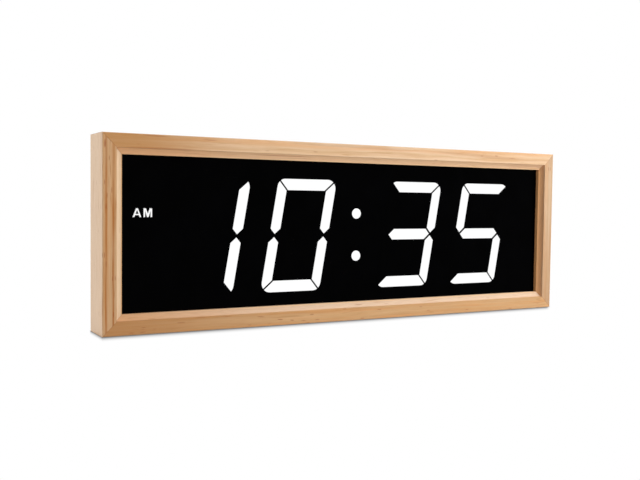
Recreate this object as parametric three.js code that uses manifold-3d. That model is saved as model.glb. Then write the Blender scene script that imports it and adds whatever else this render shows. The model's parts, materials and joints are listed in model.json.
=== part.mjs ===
// Digital wall clock: a mitred wooden frame round a black seven-segment display that shows 10:35 AM.
// Lengths are millimetres. X runs along the clock, Y from its front to its back and Z up.
// The origin is the middle of the underside. Inside the file, depths count back from the front face.

import * as THREE from "three";
import { mergeVertices } from "three/addons/utils/BufferGeometryUtils.js";
import Module from "manifold-3d";

const wasm = await Module();
wasm.setup();

// Whole clock
const clockWidth = 457;
const clockHeight = 155;
const clockDepth = 36.4;

// Wooden moulding, in section
const faceWidth = 11;
const faceStep = 0.9;
const coveWidth = 5;
const coveDrop = 2.5;
const lipDepth = 7.1;
const wallThickness = 10;
const rimThickness = 3.5;
const frontArris = 0.8;
const backArris = 1.4;
const mitreGap = 0.1;

// Fits
const fitGap = 0.3;
const lensGap = 0.1;
const overrun = 0.5;

// Display plates
const panelThickness = 2.2;
const boardThickness = 1.6;
const coverThickness = 2;

// Digits, upright before they are slanted
const digitWidth = 56.6;
const digitHeight = 96.1;
const barHeight = 9.5;
const strokeWidth = 9;
const hairline = 1.45;
const waistGap = 2.8;
const middleGap = 1.9;
const digitRadius = 7.6;
const slantDegrees = 9.8;
const digitDrop = 2;
const outerDigitShare = 0.328;
const innerDigitShare = 0.1347;

// Colon and half-day marks
const dotDiameter = 9.1;
const dotOffset = 18.8;
const letterWidth = 7;
const letterHeight = 6.9;
const letterPitch = 8.65;
const letterCounterDepth = 0.4;
const markShare = 0.4595;
const markFlange = 1;
const markBorder = 1.2;

// Light box
const boxPlate = 1.5;
const cupWall = 1.5;
const cupLedge = 0.8;

// Light-emitting diodes
const diodeWidth = 3.5;
const diodeDepth = 2.8;
const diodeHeight = 1.9;
const diodeSpreadShare = 0.18;

// Remote control receiver
const receiverWidth = 5.6;
const receiverTall = 7;
const receiverDepth = 4.4;
const receiverLens = 2.2;
const receiverDrop = 45.5;

// Control board and what is soldered to it
const controlWidth = 94;
const controlTall = 60;
const controlShare = 0.24;
const controlRise = 5;
const headerHeight = 2.5;
const headerLength = 20;
const headerInset = 8;
const chipSide = 10;
const chipHeight = 1.6;
const capacitorDiameter = 6.3;
const capacitorHeight = 5.4;
const switchSide = 6;
const switchHeight = 3.5;
const switchBore = 4.1;
const switchBoreDepth = 1.5;

// Power inlet
const jackWidth = 9;
const jackHeight = 10;
const jackLength = 14;
const jackAxisHeight = 5.5;
const jackBore = 6.3;
const jackBoreDepth = 9.5;
const jackPin = 2;
const jackInset = 14;
const jackOverhang = 2.5;
const jackHeadroom = 0.4;

// Plug bay in the cover, and the slot that lets the lead out
const plugDiameter = 10;
const bayWidth = 13;
const bayWall = 1.8;
const leadSlotWidth = 7;
const leadSlotDepth = 8.4;

// Push buttons
const buttonDiameter = 7;
const buttonFlange = 1.2;
const buttonFlangeThickness = 1;
const buttonFoot = 3.5;
const buttonFootReach = 0.4;
const buttonSink = 1;
const buttonChamfer = 0.4;
const buttonPitch = 17;
const buttonInset = 12.5;
const wellDepth = 3;
const wellFloor = 1.8;
const wellMargin = 5;
const wellRadius = 3;

// Coin cell, its holder and its cap
const cellDiameter = 20;
const cellThickness = 3.2;
const cellChamfer = 0.4;
const holderBase = 1.5;
const holderWall = 1.5;
const holderHeight = 4.2;
const holderNotch = 8;
const cellInset = 26;
const cellRise = 20.5;
const capDiameter = 26;
const capTop = 1.3;
const capSkirt = 1.6;
const capSlotWidth = 1.9;
const capSlotLength = 14;
const capSlotDepth = 0.8;
const lugReach = 2;
const lugThickness = 1;
const lugDegrees = 30;
const lugTurnDegrees = 45;
const lugPlayDegrees = 4;

// Buzzer
const buzzerDiameter = 12;
const buzzerHeight = 6.5;
const buzzerBore = 2;
const buzzerBoreDepth = 1.5;
const buzzerInset = 12;
const buzzerRise = 31;
const soundHole = 1.8;
const soundPitch = 3.2;

// Cover posts, keyholes and fixings
const postDiameter = 7;
const postShare = 0.45;
const postRise = 44;
const bossDiameter = 6.4;
const bossInset = 4;
const keyholeGap = 2.6;
const keyholeDrop = 33;
const keyholeHead = 9;
const keyholeSlot = 4.6;
const keyholeTravel = 8;
const coverRadius = 2;
const backScrewShare = 0.44;
const screwDiameter = 2.6;
const screwLength = 12;
const screwHead = 5.2;
const screwHeadHeight = 1.6;
const screwHeadRim = 0.3;
const boardScrewDiameter = 2.2;
const boardScrewLength = 8;
const boardScrewHead = 4.4;
const boardScrewHeadHeight = 1.5;
const recessWidth = 0.7;
const recessDepth = 0.8;
const recessSpanShare = 0.6;

// Facets
const halfShare = 0.5;
const arcSteps = 4;
const smallSteps = 7;
const roundSteps = 12;

// Depths of the faces that meet, back from the front of the frame
const panelFront = lipDepth;
const panelBack = panelFront + panelThickness;
const coverInside = clockDepth - coverThickness;
const jackTop = coverInside - jackHeadroom;
const controlBack = jackTop - jackHeight;
const controlFront = controlBack - boardThickness;
const boardBack = controlFront - headerHeight;
const boardFront = boardBack - boardThickness;
const markSeat = panelBack + markFlange;

// Places in the plane of the display
const openingWidth = clockWidth - 2 * (faceWidth + coveWidth);
const innerWidth = clockWidth - 2 * wallThickness;
const innerHeight = clockHeight - 2 * wallThickness;
const middleHeight = clockHeight / 2;
const digitMiddle = middleHeight - digitDrop;
const digitNames = ["hour_tens", "hour_units", "minute_tens", "minute_units"];
const digitCentreShares = [-outerDigitShare, -innerDigitShare, innerDigitShare, outerDigitShare];
const digitCentres = digitCentreShares.map((share) => share * openingWidth);
const litSegments = ["bc", "abcdef", "abcdg", "acdfg"];
const slant = Math.tan(THREE.MathUtils.degToRad(slantDegrees));
const dotHeights = [digitMiddle + dotOffset, digitMiddle - dotOffset];
const markCentre = -markShare * openingWidth;
const receiverHeight = digitMiddle - receiverDrop;

// Places on the control board
const controlCentre = controlShare * innerWidth;
const controlLeft = controlCentre - controlWidth / 2;
const controlRight = controlCentre + controlWidth / 2;
const controlBottom = middleHeight + controlRise - controlTall / 2;
const controlUpper = controlBottom + controlTall;
const jackCentre = controlLeft + jackInset;
const jackNose = controlBottom - jackOverhang;
const jackAxis = controlBack + jackAxisHeight;
const buttonHeight = controlUpper - buttonInset;
const buttonNames = ["button_set", "button_down", "button_up"];
const buttonCentres = buttonNames.map((name, i) => controlCentre + (i - 1) * buttonPitch);
const cellCentre = controlRight - cellInset;
const cellMiddle = controlBottom + cellRise;
const buzzerCentre = controlLeft + buzzerInset;
const buzzerMiddle = controlBottom + buzzerRise;
const bossPlaces = [
  [controlLeft + bossInset, controlUpper - bossInset],
  [controlRight - bossInset, controlBottom + bossInset],
];
const restPlaces = [
  [controlLeft + bossInset, controlBottom + bossInset],
  [controlRight - bossInset, controlUpper - bossInset],
];

// Places on the cover
const bayFloor = jackAxis - plugDiameter / 2 - fitGap;
const bayBottom = wallThickness + fitGap;
const leadSlotFloor = clockDepth - leadSlotDepth;
const wellFace = clockDepth - wellDepth;
const wellInside = wellFace - wellFloor;
const coverCore = (coverInside + clockDepth) / 2;
const capInside = coverInside - fitGap - lugThickness;
const keyholeCentre = controlRight + keyholeGap + keyholeHead / 2;
const ledgeMiddle = (rimThickness + wallThickness) / 2;
const screwColumns = [-1, 0, 1].map((side) => side * backScrewShare * clockWidth);
const screwLevels = [ledgeMiddle, clockHeight - ledgeMiddle];
const screwPlaces = screwLevels.flatMap((z) => screwColumns.map((x) => [x, z]));
const postColumns = [-1, 0, 1].map((side) => side * postShare * innerWidth);

// Solids: a closed mesh with shared vertices, ready to be cut or joined
function solid(geometry) {
  const bare = geometry.clone();
  bare.deleteAttribute("normal");
  bare.deleteAttribute("uv");
  const merged = mergeVertices(bare);
  const corners = merged.index.array;
  const kept = [];
  for (let i = 0; i < corners.length; i += 3) {
    const [a, b, c] = corners.slice(i, i + 3);
    if (a !== b && b !== c && c !== a) {
      kept.push(a, b, c);
    }
  }
  const mesh = new wasm.Mesh({
    numProp: 3,
    vertProperties: new Float32Array(merged.attributes.position.array),
    triVerts: new Uint32Array(kept),
  });
  return new wasm.Manifold(mesh);
}

function joined(solids) {
  return solids.reduce((whole, piece) => whole.add(piece));
}

function cut(body, tools) {
  return tools.reduce((rest, tool) => rest.subtract(tool), body);
}

// A box between pairs of low and high places
function block(x, y, z) {
  const geometry = new THREE.BoxGeometry();
  const position = geometry.attributes.position;
  const end = (side, [low, high]) => (side < 0 ? low : high);
  for (let i = 0; i < position.count; i += 1) {
    const corner = [position.getX(i), position.getY(i), position.getZ(i)];
    position.setXYZ(i, end(corner[0], x), end(corner[1], y), end(corner[2], z));
  }
  return solid(geometry);
}

// A flat outline in X and Z, given thickness from one depth to another
function slab(shape, near, far, curveSegments = arcSteps) {
  const geometry = new THREE.ExtrudeGeometry(shape, { depth: 1, bevelEnabled: false, curveSegments });
  geometry.rotateX(Math.PI / 2);
  const position = geometry.attributes.position;
  for (let i = 0; i < position.count; i += 1) {
    position.setY(i, position.getY(i) < -halfShare ? near : far);
  }
  return solid(geometry);
}

function disc(diameter, near, far, x = 0, z = 0, steps = smallSteps) {
  const shape = new THREE.Shape();
  shape.absarc(x, z, diameter / 2, 0, 2 * Math.PI);
  return slab(shape, near, far, steps);
}

// A turned piece round the Y axis, from the radius and depth of each point of its profile
function turned(profile, steps = smallSteps, x = 0, z = 0) {
  const points = profile.map(([radius, depth]) => new THREE.Vector2(radius, depth));
  const geometry = new THREE.LatheGeometry(points, 2 * steps);
  geometry.translate(x, 0, z);
  return solid(geometry);
}

// Outlines
function polygon(points) {
  return new THREE.Shape(points.map(([x, z]) => new THREE.Vector2(x, z)));
}

// An outline with every corner rounded, its corners listed anticlockwise
function rounded(points, radius) {
  const corners = points.map(([x, z]) => new THREE.Vector2(x, z));
  const shape = new THREE.Shape();
  corners.forEach((corner, i) => {
    const back = corners.at(i - 1).clone().sub(corner).normalize();
    const ahead = corners[(i + 1) % corners.length].clone().sub(corner).normalize();
    const halfAngle = Math.acos(back.dot(ahead)) / 2;
    const centre = back.clone().add(ahead).setLength(radius / Math.sin(halfAngle)).add(corner);
    const reach = radius / Math.tan(halfAngle);
    const start = back.multiplyScalar(reach).add(corner).sub(centre);
    const stop = ahead.multiplyScalar(reach).add(corner).sub(centre);
    shape.absarc(centre.x, centre.y, radius, start.angle(), stop.angle(), false);
  });
  return shape;
}

function rectangle(width, height, x = 0, z = 0) {
  return [
    [x - width / 2, z - height / 2],
    [x + width / 2, z - height / 2],
    [x + width / 2, z + height / 2],
    [x - width / 2, z + height / 2],
  ];
}

// The same convex outline, larger all round by a margin
function grown(points, margin) {
  const corners = points.map(([x, z]) => new THREE.Vector2(x, z));
  const outward = (from, to) => new THREE.Vector2(to.y - from.y, from.x - to.x).normalize();
  return corners.map((corner, i) => {
    const before = outward(corners.at(i - 1), corner);
    const after = outward(corner, corners[(i + 1) % corners.length]);
    const reach = margin / (1 + before.dot(after));
    const moved = before.add(after).multiplyScalar(reach).add(corner);
    return [moved.x, moved.y];
  });
}

function slanted(points, x, z) {
  return points.map(([across, up]) => [x + across + slant * up, z + up]);
}

// A mirrored outline keeps its anticlockwise order
function mirrored(points, acrossSign, upSign) {
  const flipped = points.map(([across, up]) => [acrossSign * across, upSign * up]);
  return acrossSign * upSign < 0 ? flipped.reverse() : flipped;
}

// How wide the upright digit's diagonal gap is drawn, so that the slant leaves it this wide
function uprightGap(gap, lean) {
  return gap * Math.hypot(1 + lean * slant, 1) / Math.SQRT2;
}

// Segment outlines round the digit's own centre, named as usual from the top bar clockwise
function segmentOutlines() {
  const side = digitWidth / 2;
  const top = digitHeight / 2;
  const waist = waistGap / 2;
  const shoulder = waist + strokeWidth / 2;
  const [mitreWith, mitreAgainst] = [1, -1].map((lean) => uprightGap(hairline, lean) / Math.SQRT2);
  const [tipWith, tipAgainst] = [1, -1].map(
    (lean) => side - strokeWidth / 2 + waist - uprightGap(middleGap, lean) * Math.SQRT2,
  );
  const bar = [
    [mitreAgainst - side, top],
    [mitreAgainst - side + barHeight, top - barHeight],
    [side - mitreWith - barHeight, top - barHeight],
    [side - mitreWith, top],
  ];
  const [uprightWith, uprightAgainst] = [mitreWith, mitreAgainst].map((mitre) => [
    [side, top - mitre],
    [side - strokeWidth, top - strokeWidth - mitre],
    [side - strokeWidth, shoulder],
    [side - strokeWidth / 2, waist],
    [side, shoulder],
  ]);
  const tip = [(tipAgainst + tipWith) / 2, (tipAgainst - tipWith) / 2];
  const middle = [
    tip,
    [tipAgainst - barHeight / 2, barHeight / 2],
    [barHeight / 2 - tipWith, barHeight / 2],
    [-tip[0], -tip[1]],
    [barHeight / 2 - tipAgainst, -barHeight / 2],
    [tipWith - barHeight / 2, -barHeight / 2],
  ];
  return {
    a: bar,
    b: uprightWith,
    c: mirrored(uprightAgainst, 1, -1),
    d: mirrored(bar, -1, -1),
    e: mirrored(uprightWith, -1, -1),
    f: mirrored(uprightAgainst, -1, 1),
    g: middle,
  };
}

const segments = segmentOutlines();

// One segment with the digit's rounded corners, larger or smaller by a margin
function segmentSolid(outline, margin, near, far, x = 0, z = 0) {
  const whole = grown(rectangle(digitWidth, digitHeight), margin);
  const corner = rounded(slanted(whole, x, z), digitRadius + margin);
  const piece = polygon(slanted(grown(outline, margin), x, z));
  return slab(piece, near, far).intersect(slab(corner, near - overrun, far + overrun));
}

// Letters, in shares of their width and height
const letterShares = {
  A: {
    outline: [
      [-0.5, 0], [-0.29, 0], [-0.2, 0.23], [0.2, 0.23],
      [0.29, 0], [0.5, 0], [0.12, 1], [-0.12, 1],
    ],
    counter: [[-0.15, 0.39], [0.15, 0.39], [0, 0.77]],
  },
  P: {
    outline: [
      [-0.44, 0], [-0.23, 0], [-0.23, 0.38], [0.12, 0.38],
      [0.34, 0.47], [0.42, 0.69], [0.34, 0.91], [0.12, 1], [-0.44, 1],
    ],
    counter: [[-0.23, 0.55], [0.08, 0.55], [0.2, 0.69], [0.08, 0.83], [-0.23, 0.83]],
  },
  M: {
    outline: [
      [-0.5, 0], [-0.3, 0], [-0.3, 0.66], [-0.1, 0], [0.1, 0], [0.3, 0.66],
      [0.3, 0], [0.5, 0], [0.5, 1], [0.2, 1], [0, 0.42], [-0.2, 1], [-0.5, 1],
    ],
    counter: [],
  },
};

function letterPoints(shares, x, z) {
  return shares.map(([across, up]) => [x + across * letterWidth, z + (up - halfShare) * letterHeight]);
}

function letterCentre(x, side) {
  return x + side * letterPitch / 2;
}

// A window for one letter: its outline's rim widened by a fine clearance
function letterWindow(letter, near, far, x, z) {
  const points = letterPoints(letterShares[letter].outline, x, z);
  const shifts = [-lensGap, lensGap];
  const copies = shifts.flatMap((right) => shifts.map((up) => points.map(([a, b]) => [a + right, b + up])));
  return joined(copies.map((copy) => slab(polygon(copy), near, far)));
}

function markBlock(margin, near, far, x, z) {
  const width = letterPitch + letterWidth + 2 * (markBorder + margin);
  const height = letterHeight + 2 * (markBorder + margin);
  return slab(polygon(rectangle(width, height, x, z)), near, far);
}

const markPlaces = [
  { name: "am_mark", letters: "AM", height: dotHeights[0], lit: true },
  { name: "pm_mark", letters: "PM", height: dotHeights[1], lit: false },
];

// Frame: one moulding profile, mitred at both ends. Local X runs inward from the outer side
function mouldingProfile() {
  const shape = new THREE.Shape();
  const lipEdge = faceWidth + coveWidth;
  const coveTop = faceStep + coveDrop;
  shape.moveTo(frontArris, 0);
  shape.lineTo(faceWidth, 0);
  shape.lineTo(faceWidth, faceStep);
  shape.absellipse(lipEdge, faceStep, coveWidth, coveDrop, Math.PI, Math.PI / 2, true);
  shape.lineTo(lipEdge, coveTop);
  shape.lineTo(lipEdge, lipDepth);
  shape.lineTo(wallThickness, lipDepth);
  shape.lineTo(wallThickness, coverInside);
  shape.lineTo(rimThickness, coverInside);
  shape.lineTo(rimThickness, clockDepth);
  shape.lineTo(backArris, clockDepth);
  shape.absarc(backArris, clockDepth - backArris, backArris, Math.PI / 2, Math.PI, false);
  shape.lineTo(0, frontArris);
  shape.absarc(frontArris, frontArris, frontArris, Math.PI, -Math.PI / 2, false);
  return shape;
}

function moulding(length) {
  const settings = { depth: 1, bevelEnabled: false, curveSegments: arcSteps };
  const geometry = new THREE.ExtrudeGeometry(mouldingProfile(), settings);
  const position = geometry.attributes.position;
  for (let i = 0; i < position.count; i += 1) {
    const reach = length / 2 - position.getX(i) - mitreGap;
    position.setZ(i, position.getZ(i) < halfShare ? -reach : reach);
  }
  return solid(geometry);
}

function pilotHoles() {
  const near = clockDepth - screwLength - fitGap;
  const diameter = screwDiameter + 2 * fitGap;
  return screwColumns.map((along) => disc(diameter, near, clockDepth, ledgeMiddle, along));
}

// The lead leaves through a slot in the bottom rail, whose local Z runs against X
function leadSlotInRail() {
  const half = leadSlotWidth / 2;
  const across = [-overrun, wallThickness + overrun];
  return block(across, [leadSlotFloor, clockDepth + overrun], [-jackCentre - half, -jackCentre + half]);
}

// Display
function frontPanel() {
  const width = innerWidth - 2 * fitGap;
  const height = innerHeight - 2 * fitGap;
  const plate = slab(polygon(rectangle(width, height, 0, middleHeight)), panelFront, panelBack);
  const near = panelFront - overrun;
  const far = panelBack + overrun;
  const windows = digitCentres.flatMap((x) => Object.values(segments).map(
    (outline) => segmentSolid(outline, lensGap, near, far, x, digitMiddle),
  ));
  const dots = dotHeights.map((z) => disc(dotDiameter + 2 * lensGap, near, far, 0, z, roundSteps));
  const letters = markPlaces.flatMap((mark) => [-1, 1].map((side, i) => letterWindow(
    mark.letters[i], near, far, letterCentre(markCentre, side), mark.height,
  )));
  return cut(plate, [...windows, ...dots, ...letters]);
}

function markLens(letters) {
  const flange = markBlock(0, panelBack, markSeat, 0, 0);
  const raised = [-1, 1].map((side, i) => slab(
    polygon(letterPoints(letterShares[letters[i]].outline, letterCentre(0, side), 0)),
    panelFront, panelBack + overrun,
  ));
  const counter = letterPoints(letterShares[letters[0]].counter, letterCentre(0, -1), 0);
  const pocket = slab(polygon(counter), panelFront - overrun, panelFront + letterCounterDepth);
  return joined([flange, ...raised]).subtract(pocket);
}

// Light box: a plate and a rim with one walled cup behind each lens
function lightBox() {
  const width = innerWidth - 2 * fitGap;
  const height = innerHeight - 2 * fitGap;
  const outer = slab(polygon(rectangle(width, height, 0, middleHeight)), panelBack, boardFront);
  const inner = rectangle(width - 2 * cupWall, height - 2 * cupWall, 0, middleHeight);
  const tray = outer.subtract(slab(polygon(inner), panelBack + boxPlate, boardFront + overrun));
  const blocks = digitCentres.map((x) => digitBlock(x));
  const sleeves = dotHeights.map((z) => disc(dotDiameter + 2 * cupWall, panelBack, boardFront, 0, z));
  const markWalls = markPlaces.map(
    (mark) => markBlock(cupWall, panelBack, boardFront, markCentre, mark.height),
  );
  const well = receiverWell(cupWall, panelBack, boardFront);
  const body = joined([tray, ...blocks, ...sleeves, ...markWalls, well]);
  return cut(body, [...cups(), receiverWell(0, panelBack - overrun, boardFront + overrun)]);
}

function digitBlock(x) {
  const outline = rectangle(digitWidth + 2 * cupWall, digitHeight + 2 * cupWall);
  const body = slab(rounded(slanted(outline, x, digitMiddle), digitRadius), panelBack, boardFront);
  const counterWidth = digitWidth - 2 * (strokeWidth + cupWall);
  const counterHeight = digitHeight / 2 - barHeight * 3 / 2 - 2 * cupWall;
  const offset = (digitHeight - barHeight) / 4;
  const counters = [-1, 1].map((side) => slab(
    polygon(slanted(rectangle(counterWidth, counterHeight, 0, side * offset), x, digitMiddle)),
    panelBack + boxPlate, boardFront + overrun,
  ));
  return cut(body, counters);
}

function cups() {
  const near = panelBack - overrun;
  const far = boardFront + overrun;
  const bars = digitCentres.flatMap((x) => Object.values(segments).map(
    (outline) => segmentSolid(outline, -cupLedge, near, far, x, digitMiddle),
  ));
  const dots = dotHeights.map((z) => disc(dotDiameter - 2 * cupLedge, near, far, 0, z));
  const marks = markPlaces.flatMap((mark) => [
    markBlock(fitGap, near, markSeat, markCentre, mark.height),
    markBlock(-cupLedge, near, far, markCentre, mark.height),
  ]);
  return [...bars, ...dots, ...marks];
}

function receiverWell(margin, near, far) {
  const width = receiverWidth + 2 * (cupWall + margin);
  const tall = receiverTall + 2 * (cupWall + margin);
  return slab(polygon(rectangle(width, tall, 0, receiverHeight)), near, far);
}

// Circuit boards
function diodePlaces() {
  const barSpread = diodeSpreadShare * digitWidth;
  const uprightSpread = diodeSpreadShare * digitHeight / 2;
  const barLevel = (digitHeight - barHeight) / 2;
  const uprightColumn = (digitWidth - strokeWidth) / 2;
  const pairs = [-1, 1];
  const bars = [-barLevel, 0, barLevel].flatMap((up) => pairs.map((side) => [side * barSpread, up]));
  const columns = pairs.map((side) => side * uprightColumn);
  const levels = [-digitHeight / 4, digitHeight / 4].flatMap(
    (middle) => pairs.map((side) => middle + side * uprightSpread),
  );
  const uprights = columns.flatMap((across) => levels.map((up) => [across, up]));
  const inDigits = digitCentres.flatMap((x) => slanted([...bars, ...uprights], x, digitMiddle));
  const inDots = dotHeights.map((z) => [0, z]);
  const inMarks = markPlaces.map((mark) => [markCentre, mark.height]);
  return [...inDigits, ...inDots, ...inMarks];
}

function ledBoard() {
  const width = innerWidth - 2 * fitGap;
  const height = innerHeight - 2 * fitGap;
  const board = slab(polygon(rectangle(width, height, 0, middleHeight)), boardFront, boardBack);
  const diodes = diodePlaces().map(([x, z]) => slab(
    polygon(rectangle(diodeWidth, diodeDepth, x, z)), boardFront - diodeHeight, boardFront + overrun,
  ));
  return joined([board, ...diodes]);
}

function controlBoard() {
  const outline = rectangle(controlWidth, controlTall, controlCentre, controlBottom + controlTall / 2);
  const board = slab(polygon(outline), controlFront, controlBack);
  const foot = controlBack - overrun;
  const switches = buttonCentres.map((x) => slab(
    polygon(rectangle(switchSide, switchSide, x, buttonHeight)), foot, controlBack + switchHeight,
  ));
  const chipCentre = (buzzerCentre + cellCentre) / 2;
  const chipOutline = rectangle(chipSide, chipSide, chipCentre, cellMiddle);
  const chip = slab(polygon(chipOutline), foot, controlBack + chipHeight);
  const canTop = controlBack + capacitorHeight;
  const canLevel = cellMiddle - chipSide - capacitorDiameter / 2;
  const canCentres = [-1, 1].map((side) => chipCentre + side * capacitorDiameter);
  const cans = canCentres.map((x) => disc(capacitorDiameter, foot, canTop, x, canLevel));
  const body = joined([board, ...switches, chip, ...cans]);
  const boreFloor = controlBack + switchHeight - switchBoreDepth;
  const bores = buttonCentres.map((x) => disc(
    switchBore, boreFloor, controlBack + switchHeight + overrun, x, buttonHeight,
  ));
  const holes = bossPlaces.map(([x, z]) => disc(
    boardScrewDiameter + 2 * fitGap, controlFront - overrun, controlBack + overrun, x, z,
  ));
  return cut(body, [...bores, ...holes]);
}

function boardHeader() {
  const left = controlLeft + headerInset;
  const bottom = controlBottom + headerInset;
  return block([left, left + headerLength], [boardBack, controlFront], [bottom, bottom + headerHeight]);
}

// Receiver for the remote control: a moulded body with a round lens towards the front
function irReceiver() {
  const half = receiverWidth / 2;
  const near = boardFront - receiverDepth;
  const body = block([-half, half], [near, boardFront], [-receiverTall / 2, receiverTall / 2]);
  const dome = new THREE.SphereGeometry(receiverLens, roundSteps, smallSteps);
  dome.translate(0, near, 0);
  return body.add(solid(dome));
}

// Power inlet: a box with a round bore and a centre pin, its mouth at local Z zero and facing down
function dcJack() {
  const half = jackWidth / 2;
  const body = block([-half, half], [controlBack, jackTop], [0, jackLength]);
  const [pin, wall] = [jackPin / 2, jackBore / 2];
  const ring = [
    [pin, -overrun], [wall, -overrun], [wall, jackBoreDepth], [pin, jackBoreDepth], [pin, -overrun],
  ];
  const points = ring.map(([radius, up]) => new THREE.Vector2(radius, up));
  const bore = new THREE.LatheGeometry(points, 2 * roundSteps);
  bore.rotateX(Math.PI / 2);
  bore.translate(0, jackAxis, 0);
  return body.subtract(solid(bore));
}

// Coin cell, holder and buzzer, turned round their own axes
function coinCell() {
  const radius = cellDiameter / 2;
  const near = controlBack + holderBase;
  const far = near + cellThickness;
  return turned([
    [0, near], [radius - cellChamfer, near], [radius, near + cellChamfer],
    [radius, far - cellChamfer], [radius - cellChamfer, far], [0, far],
  ], roundSteps);
}

function cellHolder() {
  const inner = cellDiameter / 2 + fitGap;
  const outer = inner + holderWall;
  const seat = controlBack + holderBase;
  const rim = controlBack + holderHeight;
  const cup = turned([
    [0, controlBack], [outer, controlBack], [outer, rim], [inner, rim], [inner, seat], [0, seat],
  ], roundSteps);
  const notch = block([-holderNotch / 2, holderNotch / 2], [seat, rim + overrun], [-outer - overrun, 0]);
  return cup.subtract(notch);
}

function buzzer() {
  const top = controlBack + buzzerHeight;
  const body = disc(buzzerDiameter, controlBack, top, 0, 0, roundSteps);
  return body.subtract(disc(buzzerBore, top - buzzerBoreDepth, top + overrun));
}

// Push button: cap, a flange that keeps it in, and the foot that works the switch
function pushButton() {
  const cap = buttonDiameter / 2;
  const flange = cap + buttonFlange;
  const foot = buttonFoot / 2;
  const footEnd = controlBack + switchHeight - buttonFootReach;
  const flangeFar = wellInside - fitGap;
  const flangeNear = flangeFar - buttonFlangeThickness;
  const top = clockDepth - buttonSink;
  return turned([
    [0, footEnd], [foot, footEnd], [foot, flangeNear], [flange, flangeNear], [flange, flangeFar],
    [cap, flangeFar], [cap, top - buttonChamfer], [cap - buttonChamfer, top], [0, top],
  ]);
}

// Part of a ring, from one radius to another, round an angle in degrees
function sector(inner, outer, middle, spread, near, far, x = 0, z = 0) {
  const [from, to] = [middle - spread / 2, middle + spread / 2].map(THREE.MathUtils.degToRad);
  const shape = new THREE.Shape();
  shape.absarc(x, z, outer, from, to, false);
  shape.absarc(x, z, inner, to, from, true);
  return slab(shape, near, far);
}

const lugAngles = [0, 180];

// Bayonet cap over the coin cell, turned by a coin in its slot
function batteryCap() {
  const radius = capDiameter / 2;
  const body = disc(capDiameter, capInside, clockDepth, 0, 0, roundSteps);
  const room = capDiameter - 2 * capSkirt;
  const hollow = disc(room, capInside - overrun, clockDepth - capTop, 0, 0, roundSteps);
  const lugs = lugAngles.map((angle) => sector(
    radius - capSkirt / 2, radius + lugReach, angle, lugDegrees, capInside, capInside + lugThickness,
  ));
  const half = capSlotWidth / 2;
  const slotEnds = [-capSlotLength / 2, capSlotLength / 2];
  const slot = block(slotEnds, [clockDepth - capSlotDepth, clockDepth + overrun], [-half, half]);
  return cut(joined([body, ...lugs]), [hollow, slot]);
}

function capOpening() {
  const near = coverInside - overrun;
  const far = clockDepth + overrun;
  const radius = capDiameter / 2;
  const reach = radius + lugReach + fitGap;
  const spread = lugDegrees + lugPlayDegrees;
  const notches = lugAngles.map((angle) => sector(
    radius / 2, reach, angle - lugTurnDegrees, spread, near, far, cellCentre, cellMiddle,
  ));
  const hole = disc(capDiameter + 2 * fitGap, near, far, cellCentre, cellMiddle, roundSteps);
  return joined([hole, ...notches]);
}

// Screws, turned round their own axes and given a cross recess
function crossRecess(width, near, far) {
  const long = [-width * recessSpanShare / 2, width * recessSpanShare / 2];
  const short = [-recessWidth / 2, recessWidth / 2];
  return block(long, [near, far], short).add(block(short, [near, far], long));
}

function backScrew() {
  const shank = screwDiameter / 2;
  const head = screwHead / 2;
  const tip = clockDepth - screwLength;
  const body = turned([
    [0, tip], [shank, tip + screwDiameter], [shank, clockDepth - screwHeadHeight],
    [head, clockDepth - screwHeadRim], [head, clockDepth], [0, clockDepth],
  ]);
  return body.subtract(crossRecess(screwHead, clockDepth - recessDepth, clockDepth + overrun));
}

function boardScrew() {
  const shank = boardScrewDiameter / 2;
  const head = boardScrewHead / 2;
  const near = controlFront - boardScrewHeadHeight;
  const end = controlFront + boardScrewLength;
  const body = turned([
    [0, near], [head, near], [head, controlFront], [shank, controlFront], [shank, end], [0, end],
  ]);
  return body.subtract(crossRecess(boardScrewHead, near - overrun, near + recessDepth));
}

function countersink(x, z) {
  const shank = screwDiameter / 2 + fitGap;
  const head = screwHead / 2 + fitGap;
  const near = coverInside - overrun;
  const far = clockDepth + overrun;
  return turned([
    [0, near], [shank, near], [shank, clockDepth - screwHeadHeight],
    [head, clockDepth - screwHeadRim], [head, far], [0, far],
  ], smallSteps, x, z);
}

// Back cover
function keyhole(x) {
  const headHeight = clockHeight - keyholeDrop;
  const near = coverInside - overrun;
  const far = clockDepth + overrun;
  const half = keyholeSlot / 2;
  return joined([
    disc(keyholeHead, near, far, x, headHeight),
    block([x - half, x + half], [near, far], [headHeight, headHeight + keyholeTravel]),
    disc(keyholeSlot, near, far, x, headHeight + keyholeTravel),
  ]);
}

function plugBay() {
  const half = bayWidth / 2;
  const outer = half + bayWall;
  const walls = block(
    [jackCentre - outer, jackCentre + outer],
    [bayFloor - bayWall, coverCore],
    [bayBottom, jackNose + bayWall],
  );
  const room = block(
    [jackCentre - half, jackCentre + half],
    [bayFloor, clockDepth + overrun],
    [bayBottom + bayWall, jackNose],
  );
  const noseHalf = jackWidth / 2 + fitGap;
  const nose = block(
    [jackCentre - noseHalf, jackCentre + noseHalf],
    [controlBack - fitGap, coverInside],
    [jackNose - overrun, jackNose + bayWall + overrun],
  );
  const slotHalf = leadSlotWidth / 2;
  const slot = block(
    [jackCentre - slotHalf, jackCentre + slotHalf],
    [leadSlotFloor, clockDepth + overrun],
    [0, bayBottom + bayWall + overrun],
  );
  return { walls, cuts: [room, nose, slot] };
}

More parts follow.
